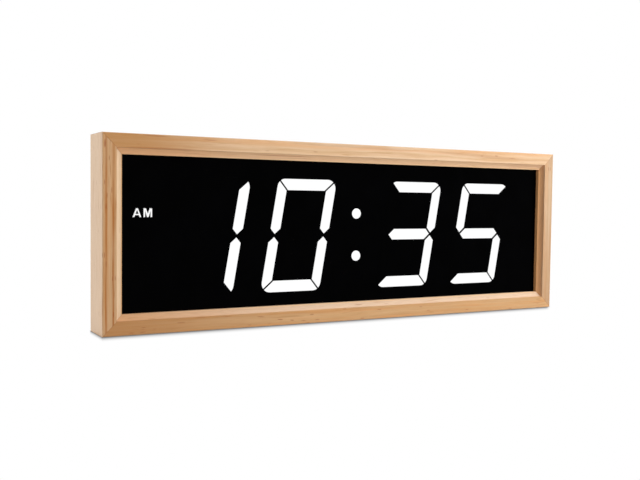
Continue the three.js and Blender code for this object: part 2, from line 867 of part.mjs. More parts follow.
function buttonWell() {
  const width = 2 * buttonPitch + buttonDiameter + 2 * wellMargin;
  const height = buttonDiameter + 2 * wellMargin;
  const inner = rectangle(width, height, controlCentre, buttonHeight);
  const walls = slab(rounded(grown(inner, wellFloor), wellRadius + wellFloor), wellInside, coverCore);
  const room = slab(rounded(inner, wellRadius), wellFace, clockDepth + overrun);
  const holes = buttonCentres.map((x) => disc(
    buttonDiameter + 2 * fitGap, wellInside - overrun, wellFace + overrun, x, buttonHeight,
  ));
  return { walls, cuts: [room, ...holes] };
}

function coverPosts() {
  const levels = [-postRise, postRise].map((rise) => middleHeight + rise);
  const places = postColumns.flatMap((x) => levels.map((z) => [x, z]));
  const posts = places.map(([x, z]) => disc(postDiameter, boardBack, coverCore, x, z));
  const corners = [...bossPlaces, ...restPlaces];
  const rests = corners.map(([x, z]) => disc(bossDiameter, controlBack, coverCore, x, z));
  const boreFloor = controlFront + boardScrewLength + fitGap;
  const bores = bossPlaces.map(([x, z]) => disc(
    boardScrewDiameter + 2 * fitGap, controlBack - overrun, boreFloor, x, z,
  ));
  return { walls: joined([...posts, ...rests]), cuts: bores };
}

function soundHoles() {
  const places = [[0, 0], [-1, 0], [1, 0], [0, -1], [0, 1]];
  return places.map(([across, up]) => disc(
    soundHole, coverInside - overrun, clockDepth + overrun,
    buzzerCentre + across * soundPitch, buzzerMiddle + up * soundPitch,
  ));
}

function backCover() {
  const width = clockWidth - 2 * (rimThickness + fitGap);
  const height = clockHeight - 2 * (rimThickness + fitGap);
  const outline = rounded(rectangle(width, height, 0, middleHeight), coverRadius);
  const plate = slab(outline, coverInside, clockDepth);
  const features = [plugBay(), buttonWell(), coverPosts()];
  const body = joined([plate, ...features.map((feature) => feature.walls)]);
  const keyholes = [-1, 1].map((side) => keyhole(side * keyholeCentre));
  const sinks = screwPlaces.map(([x, z]) => countersink(x, z));
  const cuts = features.flatMap((feature) => feature.cuts);
  return cut(body, [...cuts, ...keyholes, ...sinks, ...soundHoles(), capOpening()]);
}

// Finishes: colour, roughness and metalness, and the light that a lit lens gives
const finishes = {
  wood: { color: "#d3a878", roughness: 0.5, metalness: 0 },
  panel: { color: "#050505", roughness: 0.2, metalness: 0 },
  litLens: { color: "#ffffff", roughness: 0.4, metalness: 0, emissive: "#ffffff" },
  darkLens: { color: "#080808", roughness: 0.3, metalness: 0 },
  lightBox: { color: "#e9e9e6", roughness: 0.6, metalness: 0 },
  circuit: { color: "#1f5a35", roughness: 0.5, metalness: 0 },
  blackPlastic: { color: "#1b1b1c", roughness: 0.6, metalness: 0 },
  rubber: { color: "#3a3b3d", roughness: 0.8, metalness: 0 },
  steel: { color: "#b9babd", roughness: 0.35, metalness: 1 },
};

const clock = new THREE.Group();
clock.position.y = -clockDepth / 2;

function add(name, body, finish, { x = 0, z = 0, turn = 0, parent = clock } = {}) {
  const made = body.getMesh();
  const geometry = new THREE.BufferGeometry();
  geometry.setAttribute("position", new THREE.BufferAttribute(made.vertProperties, made.numProp));
  geometry.setIndex(new THREE.BufferAttribute(made.triVerts, 1));
  geometry.computeVertexNormals();
  const mesh = new THREE.Mesh(geometry, new THREE.MeshStandardMaterial(finishes[finish]));
  mesh.name = name;
  mesh.position.set(x, 0, z);
  mesh.rotation.y = turn;
  parent.add(mesh);
}

function addFrame() {
  const rail = cut(moulding(clockWidth), pilotHoles());
  const stile = moulding(clockHeight);
  add("frame_top_rail", rail, "wood", { z: clockHeight, turn: Math.PI / 2 });
  add("frame_bottom_rail", rail.subtract(leadSlotInRail()), "wood", { turn: -Math.PI / 2 });
  add("frame_left_stile", stile, "wood", { x: -clockWidth / 2, z: middleHeight });
  add("frame_right_stile", stile, "wood", { x: clockWidth / 2, z: middleHeight, turn: Math.PI });
}

function addDigit(name, centre, lit) {
  const digit = new THREE.Group();
  digit.position.set(centre, 0, digitMiddle);
  clock.add(digit);
  for (const [letter, outline] of Object.entries(segments)) {
    const lens = segmentSolid(outline, 0, panelFront, panelBack);
    const finish = lit.includes(letter) ? "litLens" : "darkLens";
    add(`${name}_segment_${letter}`, lens, finish, { parent: digit });
  }
}

function addDisplay() {
  add("front_panel", frontPanel(), "panel");
  digitNames.forEach((name, i) => addDigit(name, digitCentres[i], litSegments[i]));
  const dot = disc(dotDiameter, panelFront, panelBack, 0, 0, roundSteps);
  add("colon_upper", dot, "litLens", { z: dotHeights[0] });
  add("colon_lower", dot, "litLens", { z: dotHeights[1] });
  for (const mark of markPlaces) {
    const finish = mark.lit ? "litLens" : "darkLens";
    add(mark.name, markLens(mark.letters), finish, { x: markCentre, z: mark.height });
  }
  add("light_box", lightBox(), "lightBox");
}

function addElectronics() {
  add("led_board", ledBoard(), "circuit");
  add("control_board", controlBoard(), "circuit");
  add("board_header", boardHeader(), "blackPlastic");
  add("ir_receiver", irReceiver(), "blackPlastic", { z: receiverHeight });
  add("dc_jack", dcJack(), "blackPlastic", { x: jackCentre, z: jackNose });
  add("buzzer", buzzer(), "blackPlastic", { x: buzzerCentre, z: buzzerMiddle });
  add("cell_holder", cellHolder(), "blackPlastic", { x: cellCentre, z: cellMiddle });
  add("coin_cell", coinCell(), "steel", { x: cellCentre, z: cellMiddle });
}

function addBack() {
  add("back_cover", backCover(), "blackPlastic");
  add("battery_cap", batteryCap(), "blackPlastic", { x: cellCentre, z: cellMiddle });
  const button = pushButton();
  buttonNames.forEach((name, i) => add(name, button, "rubber", { x: buttonCentres[i], z: buttonHeight }));
  const screw = backScrew();
  screwPlaces.forEach(([x, z], i) => add(`back_screw_${i + 1}`, screw, "steel", { x, z }));
  const short = boardScrew();
  bossPlaces.forEach(([x, z], i) => add(`board_screw_${i + 1}`, short, "steel", { x, z }));
}

addFrame();
addDisplay();
addElectronics();
addBack();

export default clock;
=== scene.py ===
import json
import math

import bmesh
import bpy
from mathutils import Matrix, Vector


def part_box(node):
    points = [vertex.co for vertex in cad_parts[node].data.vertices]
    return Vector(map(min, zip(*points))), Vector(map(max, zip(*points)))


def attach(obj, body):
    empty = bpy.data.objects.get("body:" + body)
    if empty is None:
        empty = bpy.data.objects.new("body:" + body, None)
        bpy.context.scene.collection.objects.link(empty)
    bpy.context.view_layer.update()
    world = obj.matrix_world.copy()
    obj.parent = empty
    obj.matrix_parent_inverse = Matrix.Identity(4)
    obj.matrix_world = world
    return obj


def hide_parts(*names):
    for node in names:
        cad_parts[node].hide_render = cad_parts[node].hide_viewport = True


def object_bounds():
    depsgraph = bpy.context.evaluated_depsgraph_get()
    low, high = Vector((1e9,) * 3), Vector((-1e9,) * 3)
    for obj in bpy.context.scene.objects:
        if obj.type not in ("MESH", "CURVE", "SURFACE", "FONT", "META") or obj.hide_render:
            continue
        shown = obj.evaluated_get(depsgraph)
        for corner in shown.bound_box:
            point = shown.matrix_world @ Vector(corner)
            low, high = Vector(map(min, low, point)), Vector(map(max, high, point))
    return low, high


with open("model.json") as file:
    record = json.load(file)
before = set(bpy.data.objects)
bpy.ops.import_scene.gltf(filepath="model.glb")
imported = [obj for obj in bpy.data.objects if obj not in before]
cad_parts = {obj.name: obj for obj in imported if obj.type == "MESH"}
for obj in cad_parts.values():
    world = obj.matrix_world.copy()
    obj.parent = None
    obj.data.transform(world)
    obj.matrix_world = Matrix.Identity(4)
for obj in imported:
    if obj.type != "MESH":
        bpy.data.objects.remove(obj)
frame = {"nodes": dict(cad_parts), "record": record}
cad_low, cad_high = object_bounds()

# Digital wall clock: a mitred wooden frame round a black display that shows 10:35 AM.
# Lengths are metres, and MM turns a size in millimetres into metres.
MM = 0.001
WIDTH = cad_high.x - cad_low.x
DEPTH = cad_high.y - cad_low.y
HEIGHT = cad_high.z - cad_low.z
FRONT = cad_low.y
BACK = cad_high.y
SIDE = cad_high.x

# Photograph's camera: focal length in pixels, angles in degrees and place in metres
IMAGE_WIDTH = 640
FOCAL_PIXELS = 841.8
SENSOR_WIDTH = 36.0
CAMERA_YAW = 29.16
CAMERA_PITCH = -2.64
CAMERA_ROLL = 0.682
CAMERA_PLACE = (-0.39366, -0.65048, 0.10491)
CAMERA_NEAR = 0.01

# Wooden moulding in section: across it from its outer side, and in from its front. A hold is how far
# from an arris a point lies that keeps the face beside it flat.
FACE_WIDTH = 11 * MM
FACE_STEP = 0.9 * MM
COVE_WIDTH = 5 * MM
COVE_DROP = 2.5 * MM
LIP_EDGE = 0.45 * MM
LIP_DEPTH = 7.1 * MM
WALL_THICKNESS = 10 * MM
RIM_THICKNESS = 3.5 * MM
COVER_THICKNESS = 2 * MM
FRONT_ARRIS = 0.8 * MM
FACE_EDGE = 0.15 * MM
HOLD = 0.12 * MM
BACK_ARRIS = 1.4 * MM
MITRE_GAP = 0.04 * MM
LEAD_SLOT_WIDTH = 7 * MM
LEAD_SLOT_DEPTH = 8.4 * MM

# Each length of moulding. Its axes say how its length, width and depth lie in the clock, and its corner
# is the middle of its outer front edge. Tones are screen colours from 0 to 255. The cove tone paints the
# sheen seen in the cove, and on the right stile its shade; the lip tone paints the light and shade along
# the lip's edge and down the inner wall. The grain's places and sizes are millimetres: its growth bands,
# the fade of its warm tone across it, and the stretch along it where its dark end pales, which lies past
# the member's own end where it has none. A mark has its middle along and across, half its length, half
# its width, its slope and its strength.
MEMBERS = {
    "frame_top_rail": dict(
        axes=((1, 0, 0), (0, 0, -1), (0, 1, 0)), corner=(0, FRONT, HEIGHT), length=WIDTH,
        seed=3.1, band_pitch=10.5, band_start=6.6, band_lean=0.35, band_share=0.3, sway=5.0,
        sap=(246, 216, 184), heart=(228, 189, 146), band=(192, 134, 72), warm=(235, 177, 124),
        cove=(235, 193, 151), lip=(250, 208, 160),
        warm_fade=(2.5, 6.0), dark_end=(-205, -95), fleck_share=0.05,
        marks=(
            (135, 5.0, 80, 1.8, 0.035, 0.18), (5, 2.2, 75, 1.7, 0.01, 0.18),
            (195, 12.8, 34, 2.2, 0.0, 0.16), (-182, 10.6, 34, 0.8, 0.0, 0.3),
            (-187, 1.3, 11, 0.7, 0.02, 0.3), (-143, 2.5, 8, 0.5, 0.02, 0.35),
            (-75, 12.4, 34, 0.45, 0.0, 0.4), (-155, 13.6, 14, 0.3, 0.02, 0.25),
            (-60, 14.1, 20, 0.3, 0.0, 0.25),
        ),
    ),
    "frame_bottom_rail": dict(
        axes=((-1, 0, 0), (0, 0, 1), (0, 1, 0)), corner=(0, FRONT, 0), length=WIDTH,
        seed=17.4, band_pitch=8.4, band_start=2.4, band_lean=-0.5, band_share=0.25, sway=5.0,
        sap=(227, 187, 141), heart=(211, 166, 116), band=(188, 132, 77), warm=(222, 158, 96),
        cove=(242, 214, 187), lip=(250, 208, 160),
        warm_fade=(20.0, 40.0), dark_end=(250, 30), fleck_share=0.12,
        marks=(
            (150, 10.4, 8, 0.35, 0.02, 0.5), (127, 10.2, 7, 0.45, 0.0, 0.4),
            (166, 7.5, 4, 0.5, 0.0, 0.35), (96, 8.2, 5, 0.5, 0.1, 0.5),
            (78, 4.8, 3, 0.6, 0.1, 0.5), (67, 3.6, 2.5, 0.7, 0.1, 0.45),
            (56, 2.6, 3.5, 0.5, 0.1, 0.45), (48, 7.5, 2.5, 0.6, 0.0, 0.45),
            (-1, 13.2, 5, 0.5, 0.0, 0.35),
        ),
    ),
    "frame_left_stile": dict(
        axes=((0, 0, 1), (1, 0, 0), (0, 1, 0)), corner=(-SIDE, FRONT, HEIGHT / 2), length=HEIGHT,
        seed=41.7, band_pitch=5.6, band_start=3.0, band_lean=-0.7, band_share=0.9, sway=0.7,
        sap=(223, 187, 148), heart=(208, 166, 120), band=(176, 104, 32), warm=(214, 156, 98),
        cove=(237, 209, 174), lip=(212, 158, 104),
        warm_fade=(20.0, 40.0), dark_end=(-200, -100), fleck_share=0.1,
        marks=(
            (69, 2.0, 4, 1.1, 0.0, 0.5), (34, 7.2, 3, 0.6, 0.0, 0.35),
            (-22, 3.0, 3, 0.6, 0.0, 0.35),
        ),
    ),
    "frame_right_stile": dict(
        axes=((0, 0, -1), (-1, 0, 0), (0, 1, 0)), corner=(SIDE, FRONT, HEIGHT / 2), length=HEIGHT,
        seed=8.9, band_pitch=4.6, band_start=1.6, band_lean=0.6, band_share=0.25, sway=1.6,
        sap=(221, 193, 161), heart=(209, 176, 141), band=(180, 124, 70), warm=(212, 158, 108),
        cove=(188, 132, 80), lip=(228, 168, 110),
        warm_fade=(20.0, 40.0), dark_end=(230, -50), fleck_share=0.03,
        marks=((20, 2.2, 26, 0.7, 0.03, 0.2),),
    ),
}


def tone(red, green, blue):
    """A colour as a screen shows it, from 0 to 255, turned into the light that it stands for."""
    def light(value):
        share = value / 255
        return share / 12.92 if share <= 0.04045 else ((share + 0.055) / 1.055) ** 2.4
    return (light(red), light(green), light(blue), 1.0)


def added(name, data):
    """A new object in the scene that shows this mesh, line, lamp or camera."""
    made = bpy.data.objects.new(name, data)
    bpy.context.scene.collection.objects.link(made)
    return made


class Nodes:
    """A node tree, and short ways to add to it."""

    def __init__(self, tree):
        self.tree = tree

    def add(self, kind, inputs=(), **settings):
        """A new node, with its settings, and with each named input linked or set."""
        made = self.tree.nodes.new(kind)
        for name, value in settings.items():
            setattr(made, name, value)
        for key, value in dict(inputs).items():
            if isinstance(value, bpy.types.NodeSocket):
                self.tree.links.new(value, made.inputs[key])
            else:
                made.inputs[key].default_value = value
        return made

    def maths(self, operation, first, second=0.0, third=0.0):
        return self.add("ShaderNodeMath", {0: first, 1: second, 2: third}, operation=operation).outputs[0]

    def times(self, first, second):
        return self.maths("MULTIPLY", first, second)

    def less(self, first, second):
        return self.maths("SUBTRACT", first, second)

    def seen_directly(self):
        """1 for camera, mirror and see-through rays, which meet plain white."""
        rays = self.add("ShaderNodeLightPath").outputs
        seen = rays["Is Camera Ray"]
        for other in ("Is Glossy Ray", "Is Transmission Ray"):
            seen = self.maths("MAXIMUM", seen, rays[other])
        return seen


# Finishes
NOISE_SPREAD = (0.3, 0.7)
FINE_NOISE = (4.0, 0.6)
WHITE = (1.0, 1.0, 1.0, 1.0)


class Finish(Nodes):
    """A material whose colour, roughness and relief are drawn by nodes on the piece's own coordinates."""

    def __init__(self, name, placing=None, **constants):
        self.material = bpy.data.materials.new(name)
        self.material.use_nodes = True
        super().__init__(self.material.node_tree)
        self.shader = self.tree.nodes["Principled BSDF"]
        for label, value in constants.items():
            self.shader.inputs[label.replace("_", " ")].default_value = value
        spot = self.add("ShaderNodeTexCoord").outputs["Object"]
        in_millimetres = placing or Matrix.Identity(4)
        self.spot = self.add("ShaderNodeMapping", {
            "Vector": spot,
            "Location": in_millimetres.to_translation() / MM,
            "Rotation": in_millimetres.to_euler(),
            "Scale": (1 / MM,) * 3,
        }).outputs[0]

    def stretched(self, along, across, shift=0.0):
        """The spot in a pattern that changes at one rate along the length and at another across it."""
        return self.add("ShaderNodeVectorMath", {
            0: self.spot, 1: (along, across, across), 2: (shift,) * 3,
        }, operation="MULTIPLY_ADD").outputs[0]

    def even(self, rate):
        return self.stretched(rate, rate)

    def noise(self, spot, detail=2.0, roughness=0.5):
        return self.add("ShaderNodeTexNoise", {
            "Vector": spot, "Scale": 1.0, "Detail": detail, "Roughness": roughness,
        }).outputs["Fac"]

    def cells(self, spot):
        return self.add("ShaderNodeTexVoronoi", {"Vector": spot, "Scale": 1.0}).outputs

    def flecks(self, spot, share, edge, core):
        """Spots round the middles of a share of the cells, chosen at random but always the same."""
        cell = self.cells(spot)
        chance = self.add("ShaderNodeSeparateColor", {0: cell["Color"]}).outputs[0]
        chosen = self.maths("LESS_THAN", chance, share)
        return self.times(self.ranged(cell["Distance"], core, edge, 1.0, 0.0), chosen)

    def ranged(self, value, low, high, to_low=0.0, to_high=1.0):
        return self.add("ShaderNodeMapRange", {
            "Value": value, "From Min": low, "From Max": high, "To Min": to_low, "To Max": to_high,
        }, interpolation_type="SMOOTHSTEP").outputs[0]

    def blended(self, share, first, second):
        return self.add("ShaderNodeMix", {0: share, 6: first, 7: second}, data_type="RGBA").outputs[2]

    def colour(self, value):
        self.tree.links.new(value, self.shader.inputs["Base Color"])

    def roughness(self, value):
        self.tree.links.new(value, self.shader.inputs["Roughness"])

    def relief(self, height, distance, strength=1.0):
        bump = self.add("ShaderNodeBump", {
            "Height": height, "Distance": distance, "Strength": strength,
        })
        self.tree.links.new(bump.outputs[0], self.shader.inputs["Normal"])


def member_placing(member):
    along, across, deep = (Vector(axis) for axis in member["axes"])
    turn = Matrix((along, across, deep)).transposed().to_4x4()
    return Matrix.Translation(Vector(member["corner"])) @ turn


FACE_MM = FACE_WIDTH / MM
LIP_MM = (FACE_WIDTH + COVE_WIDTH) / MM

# Noises of the wood: their changes in a millimetre along and across it, shift, detail and roughness
GRAIN = {
    "sway": (0.009, 0.07, 0, 2.0, 0.5),
    "uneven": (0.03, 0.5, 5, 3.0, 0.5),
    "cloud": (0.01, 0.12, 11, 2.0, 0.5),
    "streak": (0.012, 0.55, 23, 4.0, 0.6),
    "warmth": (0.009, 0.32, 67, 3.0, 0.55),
    "fibre": (0.11, 5.0, 31, 3.0, 0.5),
    "ridge": (0.011, 0.42, 79, 1.0, 0.5),
    "line_here": (0.02, 0.2, 83, 1.0, 0.5),
}

# Patterns of the wood, and where the painted sheen and shade of the cove and the lip lie: two values of
# what each one follows, then its share at either one, or else 0 and 1
FADES = {
    "outer": (0.0, 0.7, 1.0, 0.0),
    "in_cove": (FACE_MM, FACE_MM + 0.5),
    "band": (0.03, 0.27, 1.0, 0.0),
    "band_uneven": (*NOISE_SPREAD, 0.5, 1.0),
    "band_deep": (12.0, 30.0, 1.0, 0.3),
    "ridge": (0.004, 0.03, 1.0, 0.0),
    "line_here": (0.42, 0.62),
    "sap": (*NOISE_SPREAD, 0.15, 0.85),
    "streak": (0.35, 0.7, 0.0, 0.6),
    "warmth": (0.42, 0.64, 0.0, 0.6),
    "end_outside": (0.0, 1.0, 0.8, 0.2),
    "fibre": (0.4, 0.75, 0.0, 0.22),
    "fleck_in_cove": (0.0, 1.0, 0.5, 0.15),
    "lip": (LIP_MM - 1.1, LIP_MM - 0.4),
    "lip_deep": (1.0, 3.0),
    "lip_at_end": (0.0, 1.0, 0.75, 0.05),
    "lip_on_wall": (3.6, 5.0, 1.0, 0.4),
    "mitre_line": (0.05, 0.4, 0.35, 0.0),
    "roughness": (0.25, 0.75, 0.34, 0.5),
}

# Shares of some patterns and of the cove's painted sheen and shade, the flecks' rates along and across
# with their shift, how far flecks and marks reach from their middles, and the colours and the lacquer that
# all the wood has, the outer colour being the sides' paler tone with painted sheen
BAND_OUTSIDE = 0.06
WARM_LEFT = 0.2
OUTER_TONE_AND_SHEEN_SHARE = 0.75
COVE_SHEEN_SHADE_SHARE = 0.8
COVE_END_SHARE = 0.7
LINE_SHARE = 0.4
FLECK_PLACING = (0.11, 0.6, 43)
FLECK_EDGE = 0.34
FLECK_CORE = 0.12
MARK_RAGGED = 1.6
MARK_CORE = 0.1
OUTER_TONE_AND_SHEEN = (240, 208, 172)
BROWN_WOOD = (152, 66, 26)
WOOD_RELIEF = 0.03 * MM
WOOD_SPECULAR = 0.05
LACQUER_WEIGHT = 0.45
LACQUER_ROUGHNESS = 0.26


def grain_marks(finish, marks, along, across, ragged):
    """Darker marks at given places, their outlines made ragged."""
    darkest = 0.0
    for middle_along, middle_across, half_length, half_width, slope, strength in marks:
        past = finish.less(along, middle_along)
        off = finish.maths("MULTIPLY_ADD", past, -slope, finish.less(across, middle_across))
        far = finish.maths("DIVIDE", past, half_length)
        wide = finish.maths("DIVIDE", off, half_width)
        square = finish.maths("MULTIPLY_ADD", far, far, finish.times(wide, wide))
        reach = finish.maths("MULTIPLY_ADD", ragged, MARK_RAGGED, finish.less(square, MARK_RAGGED / 2))
        shade = finish.ranged(reach, MARK_CORE, 1.0, strength, 0.0)
        darkest = finish.maths("MAXIMUM", shade, darkest)
    return darkest


def wood_finish(name, member):
    """Clear-lacquered softwood: growth bands, wavy streaks and lines, fibres, flecks and darker marks, with
    painted sheen and shade on the cove, the lip and the outer sides.
    """
    finish = Finish(
        name, member_placing(member).inverted(),
        Coat_Weight=LACQUER_WEIGHT, Coat_Roughness=LACQUER_ROUGHNESS, Specular_IOR_Level=WOOD_SPECULAR,
    )
    maths, times, less = finish.maths, finish.times, finish.less
    ranged, blended = finish.ranged, finish.blended
    seed = member["seed"]
    # The cove and lip tones are painted sheen and shade, not the wood's own colour
    heart, sap, dark, warm, cove, lip = (
        tone(*member[name]) for name in ("heart", "sap", "band", "warm", "cove", "lip")
    )
    brown = tone(*BROWN_WOOD)
    place = finish.add("ShaderNodeSeparateXYZ", {0: finish.spot}).outputs
    along, across, deep = place["X"], place["Y"], place["Z"]

    def noise(pattern):
        along_rate, across_rate, shift, detail, roughness = GRAIN[pattern]
        return finish.noise(finish.stretched(along_rate, across_rate, seed + shift), detail, roughness)

    def faded(pattern, value):
        return ranged(value, *FADES[pattern])

    # Growth bands lean and sway, and every finer pattern sways with them
    lean = maths("MULTIPLY_ADD", deep, member["band_lean"], across)
    swayed = maths("MULTIPLY_ADD", noise("sway"), 2 * member["sway"], lean)
    start = member["band_start"] + member["sway"]
    ring = maths("DIVIDE", less(swayed, start), member["band_pitch"])
    band = faded("band", maths("PINGPONG", ring, 0.5))
    finish.spot = finish.add("ShaderNodeCombineXYZ", {0: along, 1: swayed, 2: deep}).outputs[0]

    outer = faded("outer", across)
    in_cove = faded("in_cove", across)
    end = ranged(along, *member["dark_end"], 1.0, 0.0)
    streak = noise("streak")
    fibre = noise("fibre")

    warm_here = times(faded("warmth", noise("warmth")), ranged(across, *member["warm_fade"], 1.0, WARM_LEFT))
    band_here = times(band, faded("band_uneven", noise("uneven")))
    band_here = times(band_here, ranged(outer, 0.0, 1.0, member["band_share"], BAND_OUTSIDE))
    ridge = maths("ABSOLUTE", less(noise("ridge"), 0.5))
    line = times(faded("ridge", ridge), faded("line_here", noise("line_here")))
    along_rate, across_rate, shift = FLECK_PLACING
    fleck_spot = finish.stretched(along_rate, across_rate, seed + shift)
    fleck = finish.flecks(fleck_spot, member["fleck_share"], FLECK_EDGE, FLECK_CORE)
    # Where the lip's painted light and shade lie: by its edge and down the inner wall, less at the dark end
    lip_light_and_shade = times(faded("lip", across), faded("lip_deep", deep))
    lip_light_and_shade = times(lip_light_and_shade, faded("lip_at_end", end))
    from_end = less(member["length"] / 2 / MM, maths("ABSOLUTE", along))

    colour = blended(faded("sap", noise("cloud")), heart, sap)
    for share, layer in (
        (faded("streak", streak), heart),
        (warm_here, warm),
        # The outer sides' paler tone: partly the side grain's own tone, partly painted sheen
        (times(outer, OUTER_TONE_AND_SHEEN_SHARE), tone(*OUTER_TONE_AND_SHEEN)),
        (times(end, faded("end_outside", outer)), dark),
        (times(band_here, faded("band_deep", deep)), dark),
        # Painted sheen in the cove, and on the right stile painted shade
        (times(in_cove, COVE_SHEEN_SHADE_SHARE), cove),
        (times(times(end, in_cove), COVE_END_SHARE), warm),
        (faded("fibre", fibre), dark),
        (times(line, LINE_SHARE), dark),
        (times(fleck, faded("fleck_in_cove", in_cove)), brown),
        (grain_marks(finish, member["marks"], along, across, streak), brown),
        # Painted light and shade along the lip's edge and down the inner wall
        (times(lip_light_and_shade, faded("lip_on_wall", deep)), lip),
        (faded("mitre_line", less(from_end, across)), brown),
    ):
        colour = blended(share, colour, layer)
    finish.colour(colour)
    finish.roughness(faded("roughness", fibre))
    finish.relief(maths("ADD", fibre, streak), WOOD_RELIEF, 0.5)
    return finish.material


# Other finishes: rates are changes in a millimetre, and tones are screen colours from 0 to 255
SMOKED_TONES = ((0, 0, 0), (3, 3, 4))
SMOKED_SPECULAR = 0.008
WAVE_RATE = 0.05
PANEL_ROUGHNESS = (0.08, 0.13)
UNLIT_ROUGHNESS = (0.08, 0.14)
LIT_TONES = ((14, 14, 14), (26, 26, 26))
LIT_SPECULAR = 0.03
LIT_CLOUD_RATE = 0.3
LIT_CLOUD_DETAIL = 3.0
MOULDED_SPECULAR = 0.4
MOULDED_CLOUD_RATE = 0.04
SPARK_FADE = (0.45, 0.8, 0.0, 0.3)
SCRATCH_ALONG = 0.4
SCRATCH_ACROSS = 8.0
SCRATCH_DULLING = 0.15
SCRATCH_RELIEF = 0.01 * MM
MASK_TONES = ((24, 84, 48), (38, 112, 66))
GLASS_TONE = (60, 130, 84)
MASK_SPECULAR = 0.5
WEAVE_RATE = 1.6
WEAVE_FADE = (0.2, 0.6, 0.0, 0.2)
WEAVE_ROUGHNESS = (0.1, 0.6, 0.32, 0.45)
COPPER_RATE = 0.12
COPPER_EDGE = (0.48, 0.52)
COPPER_RELIEF = 0.03 * MM


def tones(pair):
    """The two colours between which a finish varies."""
    return [tone(*colour) for colour in pair]


def smoked_finish(name, roughness):
    """Smoked gloss plastic: almost no reflection, with faint moulding waves."""
    finish = Finish(name, Specular_IOR_Level=SMOKED_SPECULAR)
    wave = finish.noise(finish.even(WAVE_RATE))
    finish.colour(finish.blended(wave, *tones(SMOKED_TONES)))
    finish.roughness(finish.ranged(wave, *NOISE_SPREAD, *roughness))
    return finish.material


def lit_finish():
    """Smoked diffuser lit evenly from behind."""
    finish = Finish(
        "smoked_lens_lit", Specular_IOR_Level=LIT_SPECULAR,
        Emission_Color=WHITE, Emission_Strength=1.0,
    )
    cloud = finish.noise(finish.even(LIT_CLOUD_RATE), LIT_CLOUD_DETAIL)
    finish.colour(finish.blended(cloud, *tones(LIT_TONES)))
    finish.roughness(finish.ranged(cloud, *NOISE_SPREAD, *PANEL_ROUGHNESS))
    return finish.material


def moulded_finish(name, dark, light, grain, roughness, depth):
    """Moulded plastic or rubber with an even spark texture of this depth in millimetres."""
    finish = Finish(name, Specular_IOR_Level=MOULDED_SPECULAR)
    dark, light = tones((dark, light))
    spark = finish.noise(finish.even(grain), *FINE_NOISE)
    cloud = finish.noise(finish.even(MOULDED_CLOUD_RATE))
    colour = finish.blended(cloud, dark, light)
    finish.colour(finish.blended(finish.ranged(spark, *SPARK_FADE), colour, light))
    finish.roughness(finish.ranged(spark, *NOISE_SPREAD, *roughness))
    finish.relief(spark, depth * MM)
    return finish.material


def metal_finish(name, dark, light, roughness):
    """Drawn or plated steel with fine random scratches."""
    finish = Finish(name, Metallic=1.0)
    scratch = finish.noise(finish.stretched(SCRATCH_ALONG, SCRATCH_ACROSS), *FINE_NOISE)
    finish.colour(finish.blended(scratch, *tones((dark, light))))
    finish.roughness(finish.ranged(scratch, *NOISE_SPREAD, roughness, roughness + SCRATCH_DULLING))
    finish.relief(scratch, SCRATCH_RELIEF)
    return finish.material


def board_finish():
    """Green solder mask over a faint glass weave and a few wide copper areas."""
    finish = Finish("green_circuit_board", Specular_IOR_Level=MASK_SPECULAR)
    weave = finish.cells(finish.even(WEAVE_RATE))["Distance"]
    copper = finish.noise(finish.even(COPPER_RATE), 0.0)
    colour = finish.blended(finish.ranged(copper, *COPPER_EDGE), *tones(MASK_TONES))
    finish.colour(finish.blended(finish.ranged(weave, *WEAVE_FADE), colour, tone(*GLASS_TONE)))
    finish.roughness(finish.ranged(weave, *WEAVE_ROUGHNESS))
    finish.relief(copper, COPPER_RELIEF, 0.3)
    return finish.material


# Geometry node trees
class Tree(Nodes):
    """A geometry node tree with named inputs, and the identifier of each."""

    def __init__(self, name, inputs):
        super().__init__(bpy.data.node_groups.new(name, "GeometryNodeTree"))
        self.identifiers = {}
        for label, kind in inputs.items():
            socket = self.tree.interface.new_socket(label, in_out="INPUT", socket_type=f"NodeSocket{kind}")
            self.identifiers[label] = socket.identifier
        self.tree.interface.new_socket("Geometry", in_out="OUTPUT", socket_type="NodeSocketGeometry")
        self.given = self.add("NodeGroupInput").outputs

    def close(self, geometry):
        """The last nodes: real geometry in place of instances, and its finish."""
        real = self.add("GeometryNodeRealizeInstances", {"Geometry": geometry})
        painted = self.add("GeometryNodeSetMaterial", {
            "Geometry": real.outputs[0], "Material": self.given["Finish"],
        })
        self.add("NodeGroupOutput", {"Geometry": painted.outputs[0]})

    def form(self, label):
        """The geometry of the object that this input names."""
        return self.add("GeometryNodeObjectInfo", {"Object": self.given[label]}).outputs["Geometry"]

    def place_kept(self, geometry):
        """The geometry with the place of each point kept, and that place's three values."""
        kept = self.add("GeometryNodeCaptureAttribute", {"Geometry": geometry})
        kept.capture_items.new("VECTOR", "Place")
        self.tree.links.new(self.add("GeometryNodeInputPosition").outputs[0], kept.inputs["Place"])
        place = self.add("ShaderNodeSeparateXYZ", {0: kept.outputs["Place"]}).outputs
        return kept.outputs["Geometry"], place

    def upright(self, geometry, middle=(0, 0, 0)):
        """Points drawn on a level plane, stood up in the clock's own upright plane."""
        return self.add("GeometryNodeTransform", {
            "Geometry": geometry, "Translation": middle, "Rotation": (math.radians(90), 0, 0),
        }).outputs[0]

    def copy_at(self, points, form, turns):
        """The last nodes: a copy of the form at each point, turned by that point's angles."""
        rotation = self.add("FunctionNodeEulerToRotation", {0: turns})
        placed = self.add("GeometryNodeInstanceOnPoints", {
            "Points": points, "Instance": form, "Rotation": rotation.outputs[0],
        })
        self.close(placed.outputs[0])

    def grow(self, name, **values):
        """A plain mesh object made by the tree from these values."""
        grown = added(name, bpy.data.meshes.new(name))
        modifier = grown.modifiers.new("shape", "NODES")
        modifier.node_group = self.tree
        for label, value in values.items():
            modifier[self.identifiers[label.replace("_", " ")]] = value
        return settled(grown)


